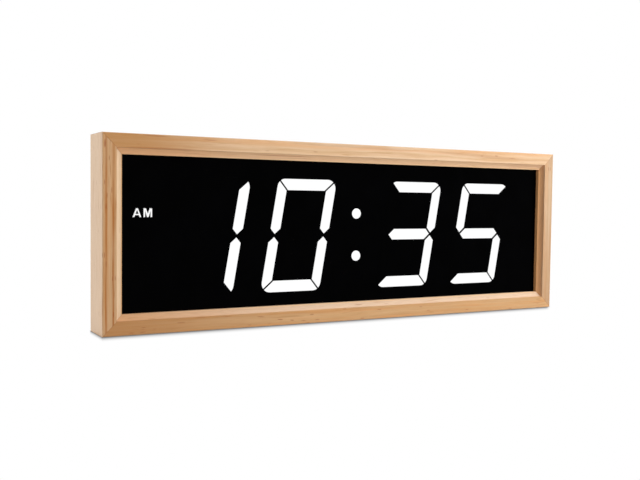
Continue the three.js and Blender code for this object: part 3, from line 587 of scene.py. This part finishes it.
def moulding_tree():
    """The profile drawn out along the length, each end cut to a mitre by its distance across."""
    tree = Tree("mitred_moulding", {
        "Profile": "Object", "Length": "Float", "Gap": "Float", "Finish": "Material",
    })
    section, spot = tree.place_kept(tree.form("Profile"))
    line = tree.add("GeometryNodeCurvePrimitiveLine", {"Start": (-1, 0, 0), "End": (1, 0, 0)})
    path, end = tree.place_kept(line.outputs[0])
    drawn = tree.add("GeometryNodeCurveToMesh", {"Curve": path, "Profile Curve": section, "Fill Caps": True})
    half = tree.times(tree.given["Length"], 0.5)
    reach = tree.less(tree.less(half, tree.given["Gap"]), spot["X"])
    along = tree.times(reach, end["X"])
    cut = tree.add("ShaderNodeCombineXYZ", {"X": along, "Y": spot["X"], "Z": spot["Y"]})
    placed = tree.add("GeometryNodeSetPosition", {"Geometry": drawn.outputs[0], "Position": cut.outputs[0]})
    tree.close(placed.outputs[0])
    return tree


def arc(across, deep, wide, first, last, steps, tall=None):
    """Points of an arc, its angles in degrees, round unless it has another height than width."""
    tall = tall or wide
    turns = [math.radians(first + (last - first) * i / steps) for i in range(steps + 1)]
    return [(across + wide * math.cos(a), deep + tall * math.sin(a)) for a in turns]


def moulding_profile():
    """Points round the section, from the outer front arris across the face and the cove."""
    lip = FACE_WIDTH + COVE_WIDTH
    low = FACE_STEP + COVE_DROP
    cover_inside = DEPTH - COVER_THICKNESS
    flat_angle = 90 + math.degrees(math.asin(LIP_EDGE / COVE_WIDTH))
    points = [(0.0, FRONT_ARRIS + HOLD)]
    points += arc(FRONT_ARRIS, FRONT_ARRIS, FRONT_ARRIS, 180, 270, 8)
    points += [(FRONT_ARRIS + HOLD, 0.0), (FACE_WIDTH - FACE_EDGE - HOLD, 0.0)]
    points += arc(FACE_WIDTH - FACE_EDGE, FACE_EDGE, FACE_EDGE, 270, 360, 4)
    points += arc(lip, FACE_STEP, COVE_WIDTH, 180, flat_angle, 20, tall=COVE_DROP)
    points += arc(lip - LIP_EDGE, low + LIP_EDGE, LIP_EDGE, 270, 360, 4)
    points += [
        (lip, LIP_DEPTH), (WALL_THICKNESS, LIP_DEPTH), (WALL_THICKNESS, cover_inside),
        (RIM_THICKNESS, cover_inside), (RIM_THICKNESS, DEPTH - FACE_EDGE),
        (RIM_THICKNESS - FACE_EDGE, DEPTH),
    ]
    points += arc(BACK_ARRIS, DEPTH - BACK_ARRIS, BACK_ARRIS, 90, 180, 8)
    points.append((0.0, DEPTH - BACK_ARRIS - HOLD))
    return points


def closed_line(name, points):
    """A closed flat line through the points, for a tree to read."""
    curve = bpy.data.curves.new(name, "CURVE")
    curve.dimensions = "2D"
    curve.fill_mode = "NONE"
    spline = curve.splines.new("POLY")
    spline.points.add(len(points) - 1)
    for point, (across, deep) in zip(spline.points, points):
        point.co = (across, deep, 0.0, 1.0)
    spline.use_cyclic_u = True
    return added(name, curve)


# Corners nearer than this are one, and edges gentler than these angles in degrees are shaded smooth
MERGE_DISTANCE = 0.001 * MM
WOOD_SMOOTH = 28
SCREW_SMOOTH = 32
MOULDED_SMOOTH = 35


def made_sound(piece, smooth_degrees, placing=None):
    """Puts the place into the mesh, closes it, turns its faces outwards and smooths its gentle edges."""
    form = bmesh.new()
    form.from_mesh(piece.data)
    if placing:
        form.transform(placing)
    bmesh.ops.remove_doubles(form, verts=form.verts, dist=MERGE_DISTANCE)
    bmesh.ops.recalc_face_normals(form, faces=form.faces)
    form.to_mesh(piece.data)
    form.free()
    smoothed(piece, smooth_degrees)
    piece.data.update()


def smoothed(piece, degrees):
    """Shades the piece smooth, except at edges steeper than this."""
    piece.data.polygons.foreach_set("use_smooth", [True] * len(piece.data.polygons))
    piece.data.set_sharp_from_angle(angle=math.radians(degrees))


def block(name, low, high):
    """A box between two corners, for cutting."""
    form = bmesh.new()
    bmesh.ops.create_cube(form, size=1.0)
    low, high = Vector(low), Vector(high)
    for corner in form.verts:
        corner.co = Vector((low[i] if corner.co[i] < 0 else high[i] for i in range(3)))
    return from_form(name, form)


def settled(piece):
    """The piece with its modifiers turned into plain mesh."""
    evaluated = piece.evaluated_get(bpy.context.evaluated_depsgraph_get())
    mesh = bpy.data.meshes.new_from_object(evaluated)
    piece.modifiers.clear()
    piece.data = mesh
    mesh.name = piece.name
    return piece


def carved(piece, *cutters):
    """The piece less the cutters, which are then removed."""
    for cutter in cutters:
        modifier = piece.modifiers.new("cut", "BOOLEAN")
        modifier.operation = "DIFFERENCE"
        modifier.solver = "EXACT"
        modifier.object = cutter
    settled(piece)
    for cutter in cutters:
        bpy.data.objects.remove(cutter)
    return piece


def node_middle(source):
    """How far across the clock and how far up the middle of a CAD node lies."""
    low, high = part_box(source)
    return (low.x + high.x) / 2, (low.z + high.z) / 2


CUT_OVERRUN = 5 * MM


def add_frame():
    """Four mitred lengths of moulding, with the slot for the lead cut through the bottom rail."""
    tree = moulding_tree()
    profile = closed_line("moulding_profile", moulding_profile())
    slot_middle = node_middle("dc_jack")[0]
    for name, member in MEMBERS.items():
        finish = wood_finish("wood_" + name, member)
        piece = tree.grow(
            name + "_wood", Profile=profile, Length=member["length"], Gap=MITRE_GAP, Finish=finish,
        )
        made_sound(piece, WOOD_SMOOTH, member_placing(member))
        if name == "frame_bottom_rail":
            half = LEAD_SLOT_WIDTH / 2
            cutter = block(
                "lead_slot_cutter",
                (slot_middle - half, BACK - LEAD_SLOT_DEPTH, -CUT_OVERRUN),
                (slot_middle + half, BACK + CUT_OVERRUN, WALL_THICKNESS + CUT_OVERRUN),
            )
            carved(piece, cutter)
            made_sound(piece, WOOD_SMOOTH)
        stands_for(piece, "case", "wood", name)
    bpy.data.objects.remove(profile)


# Small turned and copied pieces
def over_node(source):
    """Puts a piece drawn round its own Y axis, with depths from the front, over this node's middle."""
    across, up = node_middle(source)
    return Matrix.Translation((across, FRONT, up))


def turned(name, profile, steps):
    """A form turned round the Y axis from radii and depths in millimetres, closed at both ends."""
    form = bmesh.new()
    rings = []
    for radius, deep in profile:
        if radius == 0:
            rings.append([form.verts.new((0, deep * MM, 0))] * steps)
            continue
        turns = [2 * math.pi * i / steps for i in range(steps)]
        rings.append([
            form.verts.new((radius * MM * math.cos(a), deep * MM, radius * MM * math.sin(a))) for a in turns
        ])
    for inner, outer in zip(rings, rings[1:]):
        for i in range(steps):
            j = (i + 1) % steps
            corners = dict.fromkeys((inner[i], inner[j], outer[j], outer[i]))
            form.faces.new(tuple(corners))
    return from_form(name, form)


def prism(name, outline, near, far):
    """A flat outline in X and Z, in millimetres, drawn from one depth to another."""
    form = bmesh.new()
    ends = [[form.verts.new((x * MM, deep * MM, z * MM)) for x, z in outline] for deep in (near, far)]
    form.faces.new(ends[0])
    form.faces.new(ends[1][::-1])
    for i in range(len(outline)):
        j = (i + 1) % len(outline)
        form.faces.new((ends[0][i], ends[0][j], ends[1][j], ends[1][i]))
    return from_form(name, form)


def as_object(name, form):
    """A new object made of this form."""
    mesh = bpy.data.meshes.new(name)
    form.to_mesh(mesh)
    form.free()
    return added(name, mesh)


def from_form(name, form):
    """A new object with this form, its faces turned outwards."""
    bmesh.ops.recalc_face_normals(form, faces=form.faces)
    return as_object(name, form)


def one_piece(name, pieces):
    """Several closed forms kept together as one object."""
    form = bmesh.new()
    for piece in pieces:
        form.from_mesh(piece.data)
        bpy.data.objects.remove(piece)
    return from_form(name, form)


def pill(length, width, steps=8):
    """Outline of a bar with round ends."""
    half, radius = (length - width) / 2, width / 2
    right_end = arc(half, 0.0, radius, -90, 90, steps)
    left_end = arc(-half, 0.0, radius, 90, 270, steps)
    return right_end + left_end


def plus(length, width, steps=8):
    """Outline of a plus sign with round ends."""
    half, radius = (length - width) / 2, width / 2
    inner = math.sqrt(2) * radius
    outline = []
    for turn in (0, 90, 180, 270):
        ahead, slant = math.radians(turn), math.radians(turn + 45)
        middle = (half * math.cos(ahead), half * math.sin(ahead))
        outline += arc(*middle, radius, turn - 90, turn + 90, steps)
        outline.append((inner * math.cos(slant), inner * math.sin(slant)))
    return outline


def merged_copy(name, source):
    """A CAD node's mesh with its loose triangles joined up, as a new object."""
    form = bmesh.new()
    form.from_mesh(frame["nodes"][source].data)
    bmesh.ops.remove_doubles(form, verts=form.verts, dist=MERGE_DISTANCE)
    return as_object(name, form)


def stands_for(piece, body, slot, *sources):
    """The piece rides on the body and replaces the CAD nodes; its slot is not used."""
    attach(piece, body)
    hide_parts(*sources)


def painted(piece, *labels):
    """The piece with these finishes added to it."""
    for label in labels:
        piece.data.materials.append(FINISHES[label])
    return piece


def repainted(name, source, slot, labels, choose):
    """A merged copy of a node with a finish for each face, chosen from the place of its middle."""
    piece = painted(merged_copy(name, source), *labels)
    for face in piece.data.polygons:
        middle = face.center / MM - Vector((0, FRONT / MM, 0))
        face.material_index = choose(middle)
    stands_for(piece, "case", slot, source)


# Finishes by material slot, and the one of the diode bodies
FINISHES = {
    "front_panel": smoked_finish("gloss_black_plate", PANEL_ROUGHNESS),
    "lit_lens": lit_finish(),
    "dark_lens": smoked_finish("smoked_lens_unlit", UNLIT_ROUGHNESS),
    "light_box": moulded_finish(
        "white_light_box", (214, 214, 210), (232, 232, 228), grain=3.0, roughness=(0.5, 0.65), depth=0.02,
    ),
    "circuit_board": board_finish(),
    "black_plastic": moulded_finish(
        "black_plastic", (22, 22, 23), (34, 34, 36), grain=5.0, roughness=(0.45, 0.6), depth=0.02,
    ),
    "back_cover": moulded_finish(
        "textured_black_cover", (26, 26, 27), (40, 40, 42), grain=2.6, roughness=(0.5, 0.7), depth=0.05,
    ),
    "button": moulded_finish(
        "grey_rubber", (52, 54, 57), (70, 72, 75), grain=6.0, roughness=(0.7, 0.85), depth=0.02,
    ),
    "coin_cell": metal_finish("satin_cell_steel", (176, 176, 178), (206, 206, 208), roughness=0.25),
    "screw": metal_finish("bright_zinc", (170, 172, 176), (212, 213, 216), roughness=0.22),
    "diode": moulded_finish(
        "diode_body", (226, 222, 196), (240, 237, 216), grain=4.0, roughness=(0.35, 0.45), depth=0.01,
    ),
}


def add_finishes():
    """Every node that the scene keeps takes the finish of its material slot."""
    for part in frame["record"]["subparts"]:
        finish = FINISHES.get(part["material_slot"])
        if finish:
            frame["nodes"][part["node"]].material_slots[0].material = finish


# Lenses and boards: depths from the clock's front and other sizes, in millimetres
PANEL_FRONT = 7.1
LETTER_POCKET = 0.4
LETTER_EDGE = 0.15
BOX_FRONT = 9.3
BOARD_FRONT = 18.3
CONTROL_BACK = 24.0
CAN_DIAMETER = 6.3
CAN_PLACES = ((91.58, 59.85), (104.18, 59.85))
JACK_AXIS = 29.5
JACK_PIN = 2.0
SKIN = 0.03


def add_am_mark():
    """The lit letters, with black along their outlines and in the open part of the A."""
    piece = painted(merged_copy("am_mark_lens", "am_mark"), "lit_lens", "front_panel")
    form = bmesh.new()
    form.from_mesh(piece.data)
    depths = {face: (face.calc_center_median().y - FRONT) / MM for face in form.faces}
    for face, deep in depths.items():
        if PANEL_FRONT + SKIN < deep < PANEL_FRONT + LETTER_POCKET + SKIN:
            face.material_index = 1
    letters = [face for face, deep in depths.items() if deep < PANEL_FRONT + SKIN]
    edge = bmesh.ops.inset_region(
        form, faces=letters, thickness=LETTER_EDGE * MM, use_even_offset=True, use_boundary=True,
    )
    for face in edge["faces"]:
        face.material_index = 1
    form.to_mesh(piece.data)
    form.free()
    stands_for(piece, "case", "lit_lens", "am_mark")


def add_lenses_and_boards():
    """Copies of the nodes that need more than one finish."""
    # The light box's front is painted black, a painted shade seen through the gaps round the lenses
    repainted(
        "light_box_moulding", "light_box", "light_box", ("light_box", "black_plastic"),
        lambda middle: middle.y < BOX_FRONT + SKIN,
    )
    repainted(
        "led_board_loaded", "led_board", "circuit_board", ("circuit_board", "diode"),
        lambda middle: middle.y < BOARD_FRONT - SKIN,
    )

    def on_control_board(middle):
        if middle.y < CONTROL_BACK + SKIN:
            return 0
        reach = min(math.hypot(middle.x - x, middle.z - z) for x, z in CAN_PLACES)
        return 2 if reach < CAN_DIAMETER / 2 + SKIN else 1

    repainted(
        "control_board_loaded", "control_board", "circuit_board",
        ("circuit_board", "black_plastic", "coin_cell"), on_control_board,
    )
    axis = node_middle("dc_jack")[0] / MM
    repainted(
        "dc_jack_pinned", "dc_jack", "black_plastic", ("black_plastic", "screw"),
        lambda middle: math.hypot(middle.x - axis, middle.y - JACK_AXIS) < JACK_PIN / 2 + SKIN,
    )


# Screws: sizes in millimetres, a thread in shares of its crest's radius and of the pitch
SCREW_COUNT = 6
SCREW_COLUMNS = 3
SCREW_TURN_SEED = 5
SCREW_LENGTH = 12.0
SCREW_RADIUS = 1.3
POINT_RADIUS = 1 / 3
SCREW_HEAD_RADIUS = 2.58
SCREW_HEAD_HEIGHT = 1.6
THREAD_PITCH = 1.0
THREAD_ROOT = 0.75
THREAD_CREST = 0.2
THREAD_FOOT = 0.5
FIRST_THREAD = 1.5
POINT_CRESTS = (0.6, 0.8)
HEAD_RIM = ((0, 0.3), (0, 0.1), (0.12, 0.02))
HEAD_FLAT = 0.6
RECESS_DEPTH = 0.9
RECESS_OVERRUN = 0.3
RECESS_FOOT = (1.5, 0.35)
RECESS_MOUTH = (3.6, 0.75)


def tapered(name, near, near_size, far, far_size):
    """A block along Y whose width and height differ from one end to the other, for cutting."""
    form = bmesh.new()
    bmesh.ops.create_cube(form, size=1.0)
    for corner in form.verts:
        deep, size = (near, near_size) if corner.co.y < 0 else (far, far_size)
        corner.co = Vector((corner.co.x * size[0] * MM, deep * MM, corner.co.z * size[1] * MM))
    return from_form(name, form)


def wood_screw():
    """A countersunk wood screw with a cross recess, its head at the origin and its point before it."""
    profile = [(0, -SCREW_LENGTH), (POINT_RADIUS, THREAD_PITCH - SCREW_LENGTH)]
    turns = int((SCREW_LENGTH - SCREW_HEAD_HEIGHT) / THREAD_PITCH) - 2
    for turn in range(turns):
        deep = FIRST_THREAD * THREAD_PITCH - SCREW_LENGTH + turn * THREAD_PITCH
        crest = SCREW_RADIUS * (POINT_CRESTS[turn] if turn < len(POINT_CRESTS) else 1.0)
        root = crest * THREAD_ROOT
        profile += [
            (root, deep), (crest, deep + THREAD_CREST * THREAD_PITCH),
            (root, deep + THREAD_FOOT * THREAD_PITCH),
        ]
    profile.append((SCREW_RADIUS, -SCREW_HEAD_HEIGHT))
    profile += [(SCREW_HEAD_RADIUS - inset, -down) for inset, down in HEAD_RIM]
    profile += [(SCREW_HEAD_RADIUS * HEAD_FLAT, 0), (0, 0)]
    screw = turned("wood_screw", profile, steps=32)
    return carved(
        screw,
        tapered("recess_across", -RECESS_DEPTH, RECESS_FOOT, RECESS_OVERRUN, RECESS_MOUTH),
        tapered("recess_up", -RECESS_DEPTH, RECESS_FOOT[::-1], RECESS_OVERRUN, RECESS_MOUTH[::-1]),
    )


def screw_grid_tree():
    """Copies of one screw on an upright grid, each turned by its own amount about its length."""
    tree = Tree("screw_grid", {
        "Screw": "Object", "Columns": "Int", "Rows": "Int", "Width": "Float", "Height": "Float",
        "Middle": "Vector", "Finish": "Material",
    })
    grid = tree.add("GeometryNodeMeshGrid", {
        "Size X": tree.given["Width"], "Size Y": tree.given["Height"],
        "Vertices X": tree.given["Columns"], "Vertices Y": tree.given["Rows"],
    })
    turn = tree.add("FunctionNodeRandomValue", {
        "Min": (0, 0, 0), "Max": (0, math.radians(90), 0), "Seed": SCREW_TURN_SEED,
    }, data_type="FLOAT_VECTOR")
    points = tree.upright(grid.outputs["Mesh"], tree.given["Middle"])
    tree.copy_at(points, tree.form("Screw"), turn.outputs[0])
    return tree


def add_screws():
    """The cover's wood screws, on the grid that their CAD nodes lie on."""
    names = [f"back_screw_{number}" for number in range(1, SCREW_COUNT + 1)]
    across, up = zip(*(node_middle(name) for name in names))
    screw = wood_screw()
    piece = screw_grid_tree().grow(
        "back_screws", Screw=screw, Columns=SCREW_COLUMNS, Rows=SCREW_COUNT // SCREW_COLUMNS,
        Width=max(across) - min(across), Height=max(up) - min(up),
        Middle=((min(across) + max(across)) / 2, BACK, (min(up) + max(up)) / 2),
        Finish=FINISHES["screw"],
    )
    bpy.data.objects.remove(screw)
    made_sound(piece, SCREW_SMOOTH)
    stands_for(piece, "case", "screw", *names)


# Buttons: radii and depths from the clock's front, and the sizes of their symbols, in millimetres
BUTTON_FOOT = ((0, 27.1), (1.45, 27.1), (1.75, 27.4), (1.75, 30.3))
BUTTON_FLANGE = ((4.5, 30.3), (4.7, 30.5), (4.7, 31.1), (4.5, 31.3))
BUTTON_DISH = ((2.2, 35.12), (1.1, 35.05), (0, 35.03))
BUTTON_RADIUS = 3.5
BUTTON_EDGE = 0.6
BUTTON_TOP = 35.2
SYMBOL_TOP = 35.4
SYMBOL_FOOT = 34.9
SYMBOL_LENGTH = 3.2
SYMBOL_WIDTH = 0.8
DOT_WIDTH = 1.7
SYMBOLS = {
    "button_set": pill(DOT_WIDTH, DOT_WIDTH),
    "button_down": pill(SYMBOL_LENGTH, SYMBOL_WIDTH),
    "button_up": plus(SYMBOL_LENGTH, SYMBOL_WIDTH),
}


def add_buttons():
    """Three push buttons with a dished top, each with its raised symbol."""
    profile = [*BUTTON_FOOT, *BUTTON_FLANGE, (BUTTON_RADIUS, BUTTON_FLANGE[-1][1])]
    profile += arc(BUTTON_RADIUS - BUTTON_EDGE, BUTTON_TOP - BUTTON_EDGE, BUTTON_EDGE, 0, 90, 6)
    profile += BUTTON_DISH
    for name, outline in SYMBOLS.items():
        form = turned("button_form", profile, steps=40)
        symbol = prism("symbol", outline, SYMBOL_FOOT, SYMBOL_TOP)
        piece = one_piece(name + "_moulded", [form, symbol])
        made_sound(piece, MOULDED_SMOOTH, over_node(name))
        stands_for(painted(piece, "button"), name.removeprefix("button_") + "_button", "button", name)


# Cap: radii, depths from the clock's front and other sizes in millimetres
CAP_RADIUS = 13.0
CAP_HOLLOW = 11.4
CAP_INSIDE = 33.1
CAP_UNDERSIDE = 35.1
CAP_FACE = 36.4
CAP_EASE = 0.15
CAP_ROUND = 0.4
GRIP_INNER = 8.9
GRIP_OUTER = 12.1
GRIP_DEPTH = 0.35
GRIP_DRAFT = 0.1
COIN_SLOT = (14, 1.9)
COIN_SLOT_DEPTH = 0.8
COIN_SLOT_OVERRUN = 1
LUG_OUTER = 15
LUG_INNER = 12.2
LUG_THICKNESS = 1
LUG_HALF_ANGLE = 15
RIB = (2.5, 0.7)
RIB_COUNT = 40
RIB_ROOT = 0.2
RIB_DROP = 0.08


def rib_ring_tree():
    """One rib repeated round a circle, each pointing outwards."""
    tree = Tree("ring_of_ribs", {"Rib": "Object", "Count": "Int", "Radius": "Float", "Finish": "Material"})
    ring = tree.add("GeometryNodeMeshCircle", {
        "Vertices": tree.given["Count"], "Radius": tree.given["Radius"],
    })
    number = tree.add("GeometryNodeInputIndex").outputs[0]
    share = tree.maths("DIVIDE", number, tree.given["Count"])
    turn = tree.add("ShaderNodeCombineXYZ", {"Y": tree.times(share, -2 * math.pi)})
    tree.copy_at(tree.upright(ring.outputs[0]), tree.form("Rib"), turn.outputs[0])
    return tree


def add_cap():
    """Bayonet cap: rounded rim, ribbed grip ring, coin slot with round ends, skirt and two lugs."""
    floor = CAP_FACE - GRIP_DEPTH
    profile = [
        (0, CAP_UNDERSIDE), (CAP_HOLLOW, CAP_UNDERSIDE), (CAP_HOLLOW, CAP_INSIDE),
        (CAP_RADIUS - CAP_EASE, CAP_INSIDE), (CAP_RADIUS, CAP_INSIDE + CAP_EASE),
    ]
    profile += arc(CAP_RADIUS - CAP_ROUND, CAP_FACE - CAP_ROUND, CAP_ROUND, 0, 90, 6)
    profile += [
        (GRIP_OUTER + GRIP_DRAFT, CAP_FACE), (GRIP_OUTER, floor), (GRIP_INNER, floor),
        (GRIP_INNER - GRIP_DRAFT, CAP_FACE), (0, CAP_FACE),
    ]
    cap = turned("battery_cap_form", profile, steps=96)
    slot = pill(*COIN_SLOT, steps=10)
    carved(cap, prism("coin_slot", slot, CAP_FACE - COIN_SLOT_DEPTH, CAP_FACE + COIN_SLOT_OVERRUN))
    lugs = []
    for middle in (0, 180):
        first, last = middle - LUG_HALF_ANGLE, middle + LUG_HALF_ANGLE
        outline = arc(0, 0, LUG_OUTER, first, last, 8)
        outline += arc(0, 0, LUG_INNER, last, first, 8)
        lugs.append(prism("lug", outline, CAP_INSIDE + SKIN, CAP_INSIDE + LUG_THICKNESS))
    rib = prism("rib", pill(*RIB, steps=4), floor - RIB_ROOT, CAP_FACE - RIB_DROP)
    ribs = rib_ring_tree().grow(
        "grip_ribs", Rib=rib, Count=RIB_COUNT, Radius=(GRIP_INNER + GRIP_OUTER) / 2 * MM,
        Finish=FINISHES["back_cover"],
    )
    bpy.data.objects.remove(rib)
    piece = one_piece("battery_cap_moulded", [cap, *lugs, ribs])
    made_sound(piece, MOULDED_SMOOTH, over_node("battery_cap"))
    stands_for(painted(piece, "back_cover"), "cap", "back_cover", "battery_cap")


# Cover: its edge in millimetres, its flats in square millimetres and its angles in degrees
COVER_EDGE = 0.22
COVER_SHARP = 40
COVER_SMOOTH = 26
JOINED_DEGREES = 0.4
FLAT_AREA = 4.0
FLAT_DEGREES = 1.0


def flats_kept(piece):
    """Makes every edge round a large flat face sharp, so that the face is shaded flat."""
    form = bmesh.new()
    form.from_mesh(piece.data)
    for edge in form.edges:
        largest = max(face.calc_area() for face in edge.link_faces)
        if largest > FLAT_AREA * MM * MM and edge.calc_face_angle(0.0) > math.radians(FLAT_DEGREES):
            edge.smooth = False
    form.to_mesh(piece.data)
    form.free()


def add_cover():
    """The moulded cover with every outer corner eased."""
    piece = merged_copy("back_cover_moulded", "back_cover")
    form = bmesh.new()
    form.from_mesh(piece.data)
    bmesh.ops.dissolve_limit(
        form, angle_limit=math.radians(JOINED_DEGREES), verts=form.verts, edges=form.edges,
    )
    form.to_mesh(piece.data)
    form.free()
    ease = piece.modifiers.new("eased_corners", "BEVEL")
    ease.width = COVER_EDGE * MM
    ease.segments = 2
    ease.limit_method = "ANGLE"
    ease.angle_limit = math.radians(COVER_SHARP)
    smoothed(settled(piece), COVER_SMOOTH)
    flats_kept(piece)
    stands_for(painted(piece, "back_cover"), "case", "back_cover", "back_cover")


# Surroundings
def add_camera():
    """The photograph's camera."""
    yaw, pitch, roll = (math.radians(a) for a in (CAMERA_YAW, CAMERA_PITCH, CAMERA_ROLL))
    ahead = Vector((math.sin(yaw) * math.cos(pitch), math.cos(yaw) * math.cos(pitch), math.sin(pitch)))
    level_right = Vector((math.cos(yaw), -math.sin(yaw), 0))
    level_up = level_right.cross(ahead)
    right = level_right * math.cos(roll) + level_up * math.sin(roll)
    up = level_up * math.cos(roll) - level_right * math.sin(roll)
    lens = bpy.data.cameras.new("camera")
    lens.sensor_width = SENSOR_WIDTH
    lens.lens = FOCAL_PIXELS / IMAGE_WIDTH * SENSOR_WIDTH
    lens.clip_start = CAMERA_NEAR
    camera = added("camera", lens)
    turn = Matrix((right, up, -ahead)).transposed().to_4x4()
    camera.matrix_world = Matrix.Translation(Vector(CAMERA_PLACE)) @ turn
    bpy.context.scene.camera = camera


# Softboxes: place, the place that each one faces, width and height, all in metres, and power in watts
SOFTBOXES = {
    "upper_softbox": ((0.62, -0.6, 0.85), (0.05, 0, 0.08), 0.9, 0.8, 8.7),
    "right_softbox": ((1.03, -0.62, 0.34), (0.1, 0, 0.08), 0.6, 0.8, 3.7),
    "side_softbox": ((-1.1, 0.5, 0.35), (-SIDE, 0, 0.08), 0.6, 0.6, 4.05),
    "back_softbox": ((0.1, 1.2, 0.55), (0.05, 0, 0.08), 0.7, 0.6, 3.5),
}


def add_softbox(name, place, target, width, height, watts):
    """A rectangular light that shines on the clock but isn't mirrored in it."""
    lamp = bpy.data.lights.new(name, "AREA")
    lamp.shape = "RECTANGLE"
    lamp.size = width
    lamp.size_y = height
    lamp.energy = watts
    box = added(name, lamp)
    aim = Vector(target) - Vector(place)
    box.matrix_world = Matrix.Translation(Vector(place)) @ aim.to_track_quat("-Z", "Y").to_matrix().to_4x4()
    box.visible_glossy = False


SOFT_LIGHT = 0.36


def add_world():
    """Plain white all round, which lights the clock softly."""
    world = bpy.data.worlds.new("white_surroundings")
    world.use_nodes = True
    world.node_tree.nodes.clear()
    nodes = Nodes(world.node_tree)
    soft = nodes.add("ShaderNodeBackground", {"Color": WHITE, "Strength": SOFT_LIGHT})
    white = nodes.add("ShaderNodeBackground", {"Color": WHITE, "Strength": 1.0})
    mixed = nodes.add("ShaderNodeMixShader", {
        0: nodes.seen_directly(), 1: soft.outputs[0], 2: white.outputs[0],
    })
    nodes.add("ShaderNodeOutputWorld", {"Surface": mixed.outputs[0]})
    bpy.context.scene.world = world


# Floor: its size in metres, and the places of its shades in millimetres: a painted soft shade before the
# clock and a share of its real cast shadow behind it. A fall says how far a shade's side edge moves in each
# millimetre away from the clock. A fade has two distances, then its share at either one, or else 0 and 1.
FLOOR_SIZE = 12.0
FLOOR_WHITE = 0.9
FLOOR_DULL = 0.98
FLOOR_GRAIN = 0.2
FLOOR_ROUGHNESS = 0.9
PAINTED_SHADE_REACH = 22.0
PAINTED_SHADE_DARKNESS = 0.86
PAINTED_SHADE_AT_BACK = (-2.0, 2.0, 1.0, 0.0)
PAINTED_SHADE_AT_RIGHT = (-5.0, 1.0, 1.0, 0.0)
LEFT_FALL = 0.25
RIGHT_FALL = 1.0
CAST_SHARE = 0.6
CAST_START = 2.0
CAST_LEFT = (0.0, 25.0)
CAST_RIGHT = (0.0, 12.0)
CAST_FAR = (60.0, 260.0, 1.0, 0.0)
CAST_PAST_RIGHT = (10.0, 120.0, 1.0, 0.0)


def floor_finish():
    """White floor: a painted soft shade before the clock, its cast shadow behind it and white further out.
    """
    finish = Finish("white_floor", Specular_IOR_Level=0.0, Roughness=FLOOR_ROUGHNESS)
    maths, times, less, ranged = finish.maths, finish.times, finish.less, finish.ranged
    side, front, back = SIDE / MM, FRONT / MM, BACK / MM
    place = finish.add("ShaderNodeSeparateXYZ", {0: finish.spot}).outputs
    across, deep = place["X"], place["Y"]
    before = less(front, deep)
    behind = less(deep, back)
    past_left = less(-side, across)
    past_right = less(across, side)

    # The painted shade: darkest at the clock's foot, fading within its reach, cut off at the back and right
    fallen = maths("MAXIMUM", maths("MAXIMUM", before, maths("DIVIDE", past_left, LEFT_FALL)), 0.0)
    left = less(1.0, maths("MINIMUM", maths("DIVIDE", fallen, PAINTED_SHADE_REACH), 1.0))
    from_back = maths("ADD", behind, fallen)
    from_right = maths("MULTIPLY_ADD", maths("MAXIMUM", before, 0.0), RIGHT_FALL, past_right)
    dark = times(times(left, left), PAINTED_SHADE_DARKNESS)
    dark = times(dark, ranged(from_back, *PAINTED_SHADE_AT_BACK))
    dark = times(dark, ranged(from_right, *PAINTED_SHADE_AT_RIGHT))

    from_left = times(maths("MULTIPLY_ADD", behind, LEFT_FALL, past_left), -1.0)
    to_right = maths("MULTIPLY_ADD", maths("ADD", behind, 2 * back), RIGHT_FALL, times(past_right, -1.0))
    cast = times(ranged(behind, -2 * back, CAST_START - 2 * back), CAST_SHARE)
    for share in (
        ranged(from_left, *CAST_LEFT), ranged(to_right, *CAST_RIGHT),
        ranged(behind, *CAST_FAR), ranged(past_right, *CAST_PAST_RIGHT),
    ):
        cast = times(cast, share)

    paper = finish.noise(finish.even(FLOOR_GRAIN))
    toned = ranged(paper, *NOISE_SPREAD, FLOOR_DULL * FLOOR_WHITE, FLOOR_WHITE)
    finish.colour(finish.add("ShaderNodeCombineXYZ", {0: toned, 1: toned, 2: toned}).outputs[0])
    # Seen directly, the floor is white less the painted shade
    white = finish.add("ShaderNodeEmission", {"Color": WHITE, "Strength": less(1.0, dark)})
    white_share = times(less(1.0, cast), finish.seen_directly())
    both = finish.add("ShaderNodeMixShader", {
        0: white_share, 1: finish.shader.outputs[0], 2: white.outputs[0],
    })
    finish.tree.links.new(both.outputs[0], finish.tree.nodes["Material Output"].inputs["Surface"])
    return finish.material


def add_floor():
    """The white surface that the clock stands on."""
    mesh = bpy.data.meshes.new("floor")
    half = FLOOR_SIZE / 2
    corners = [(-half, -half, 0), (half, -half, 0), (half, half, 0), (-half, half, 0)]
    mesh.from_pydata(corners, [], [(0, 1, 2, 3)])
    mesh.materials.append(floor_finish())
    added("floor", mesh)


add_camera()
add_frame()
add_finishes()
add_am_mark()
add_lenses_and_boards()
add_cover()
add_screws()
add_buttons()
add_cap()
add_world()
add_floor()
for name, settings in SOFTBOXES.items():
    add_softbox(name, *settings)

bpy.context.scene.view_settings.view_transform = "Standard"
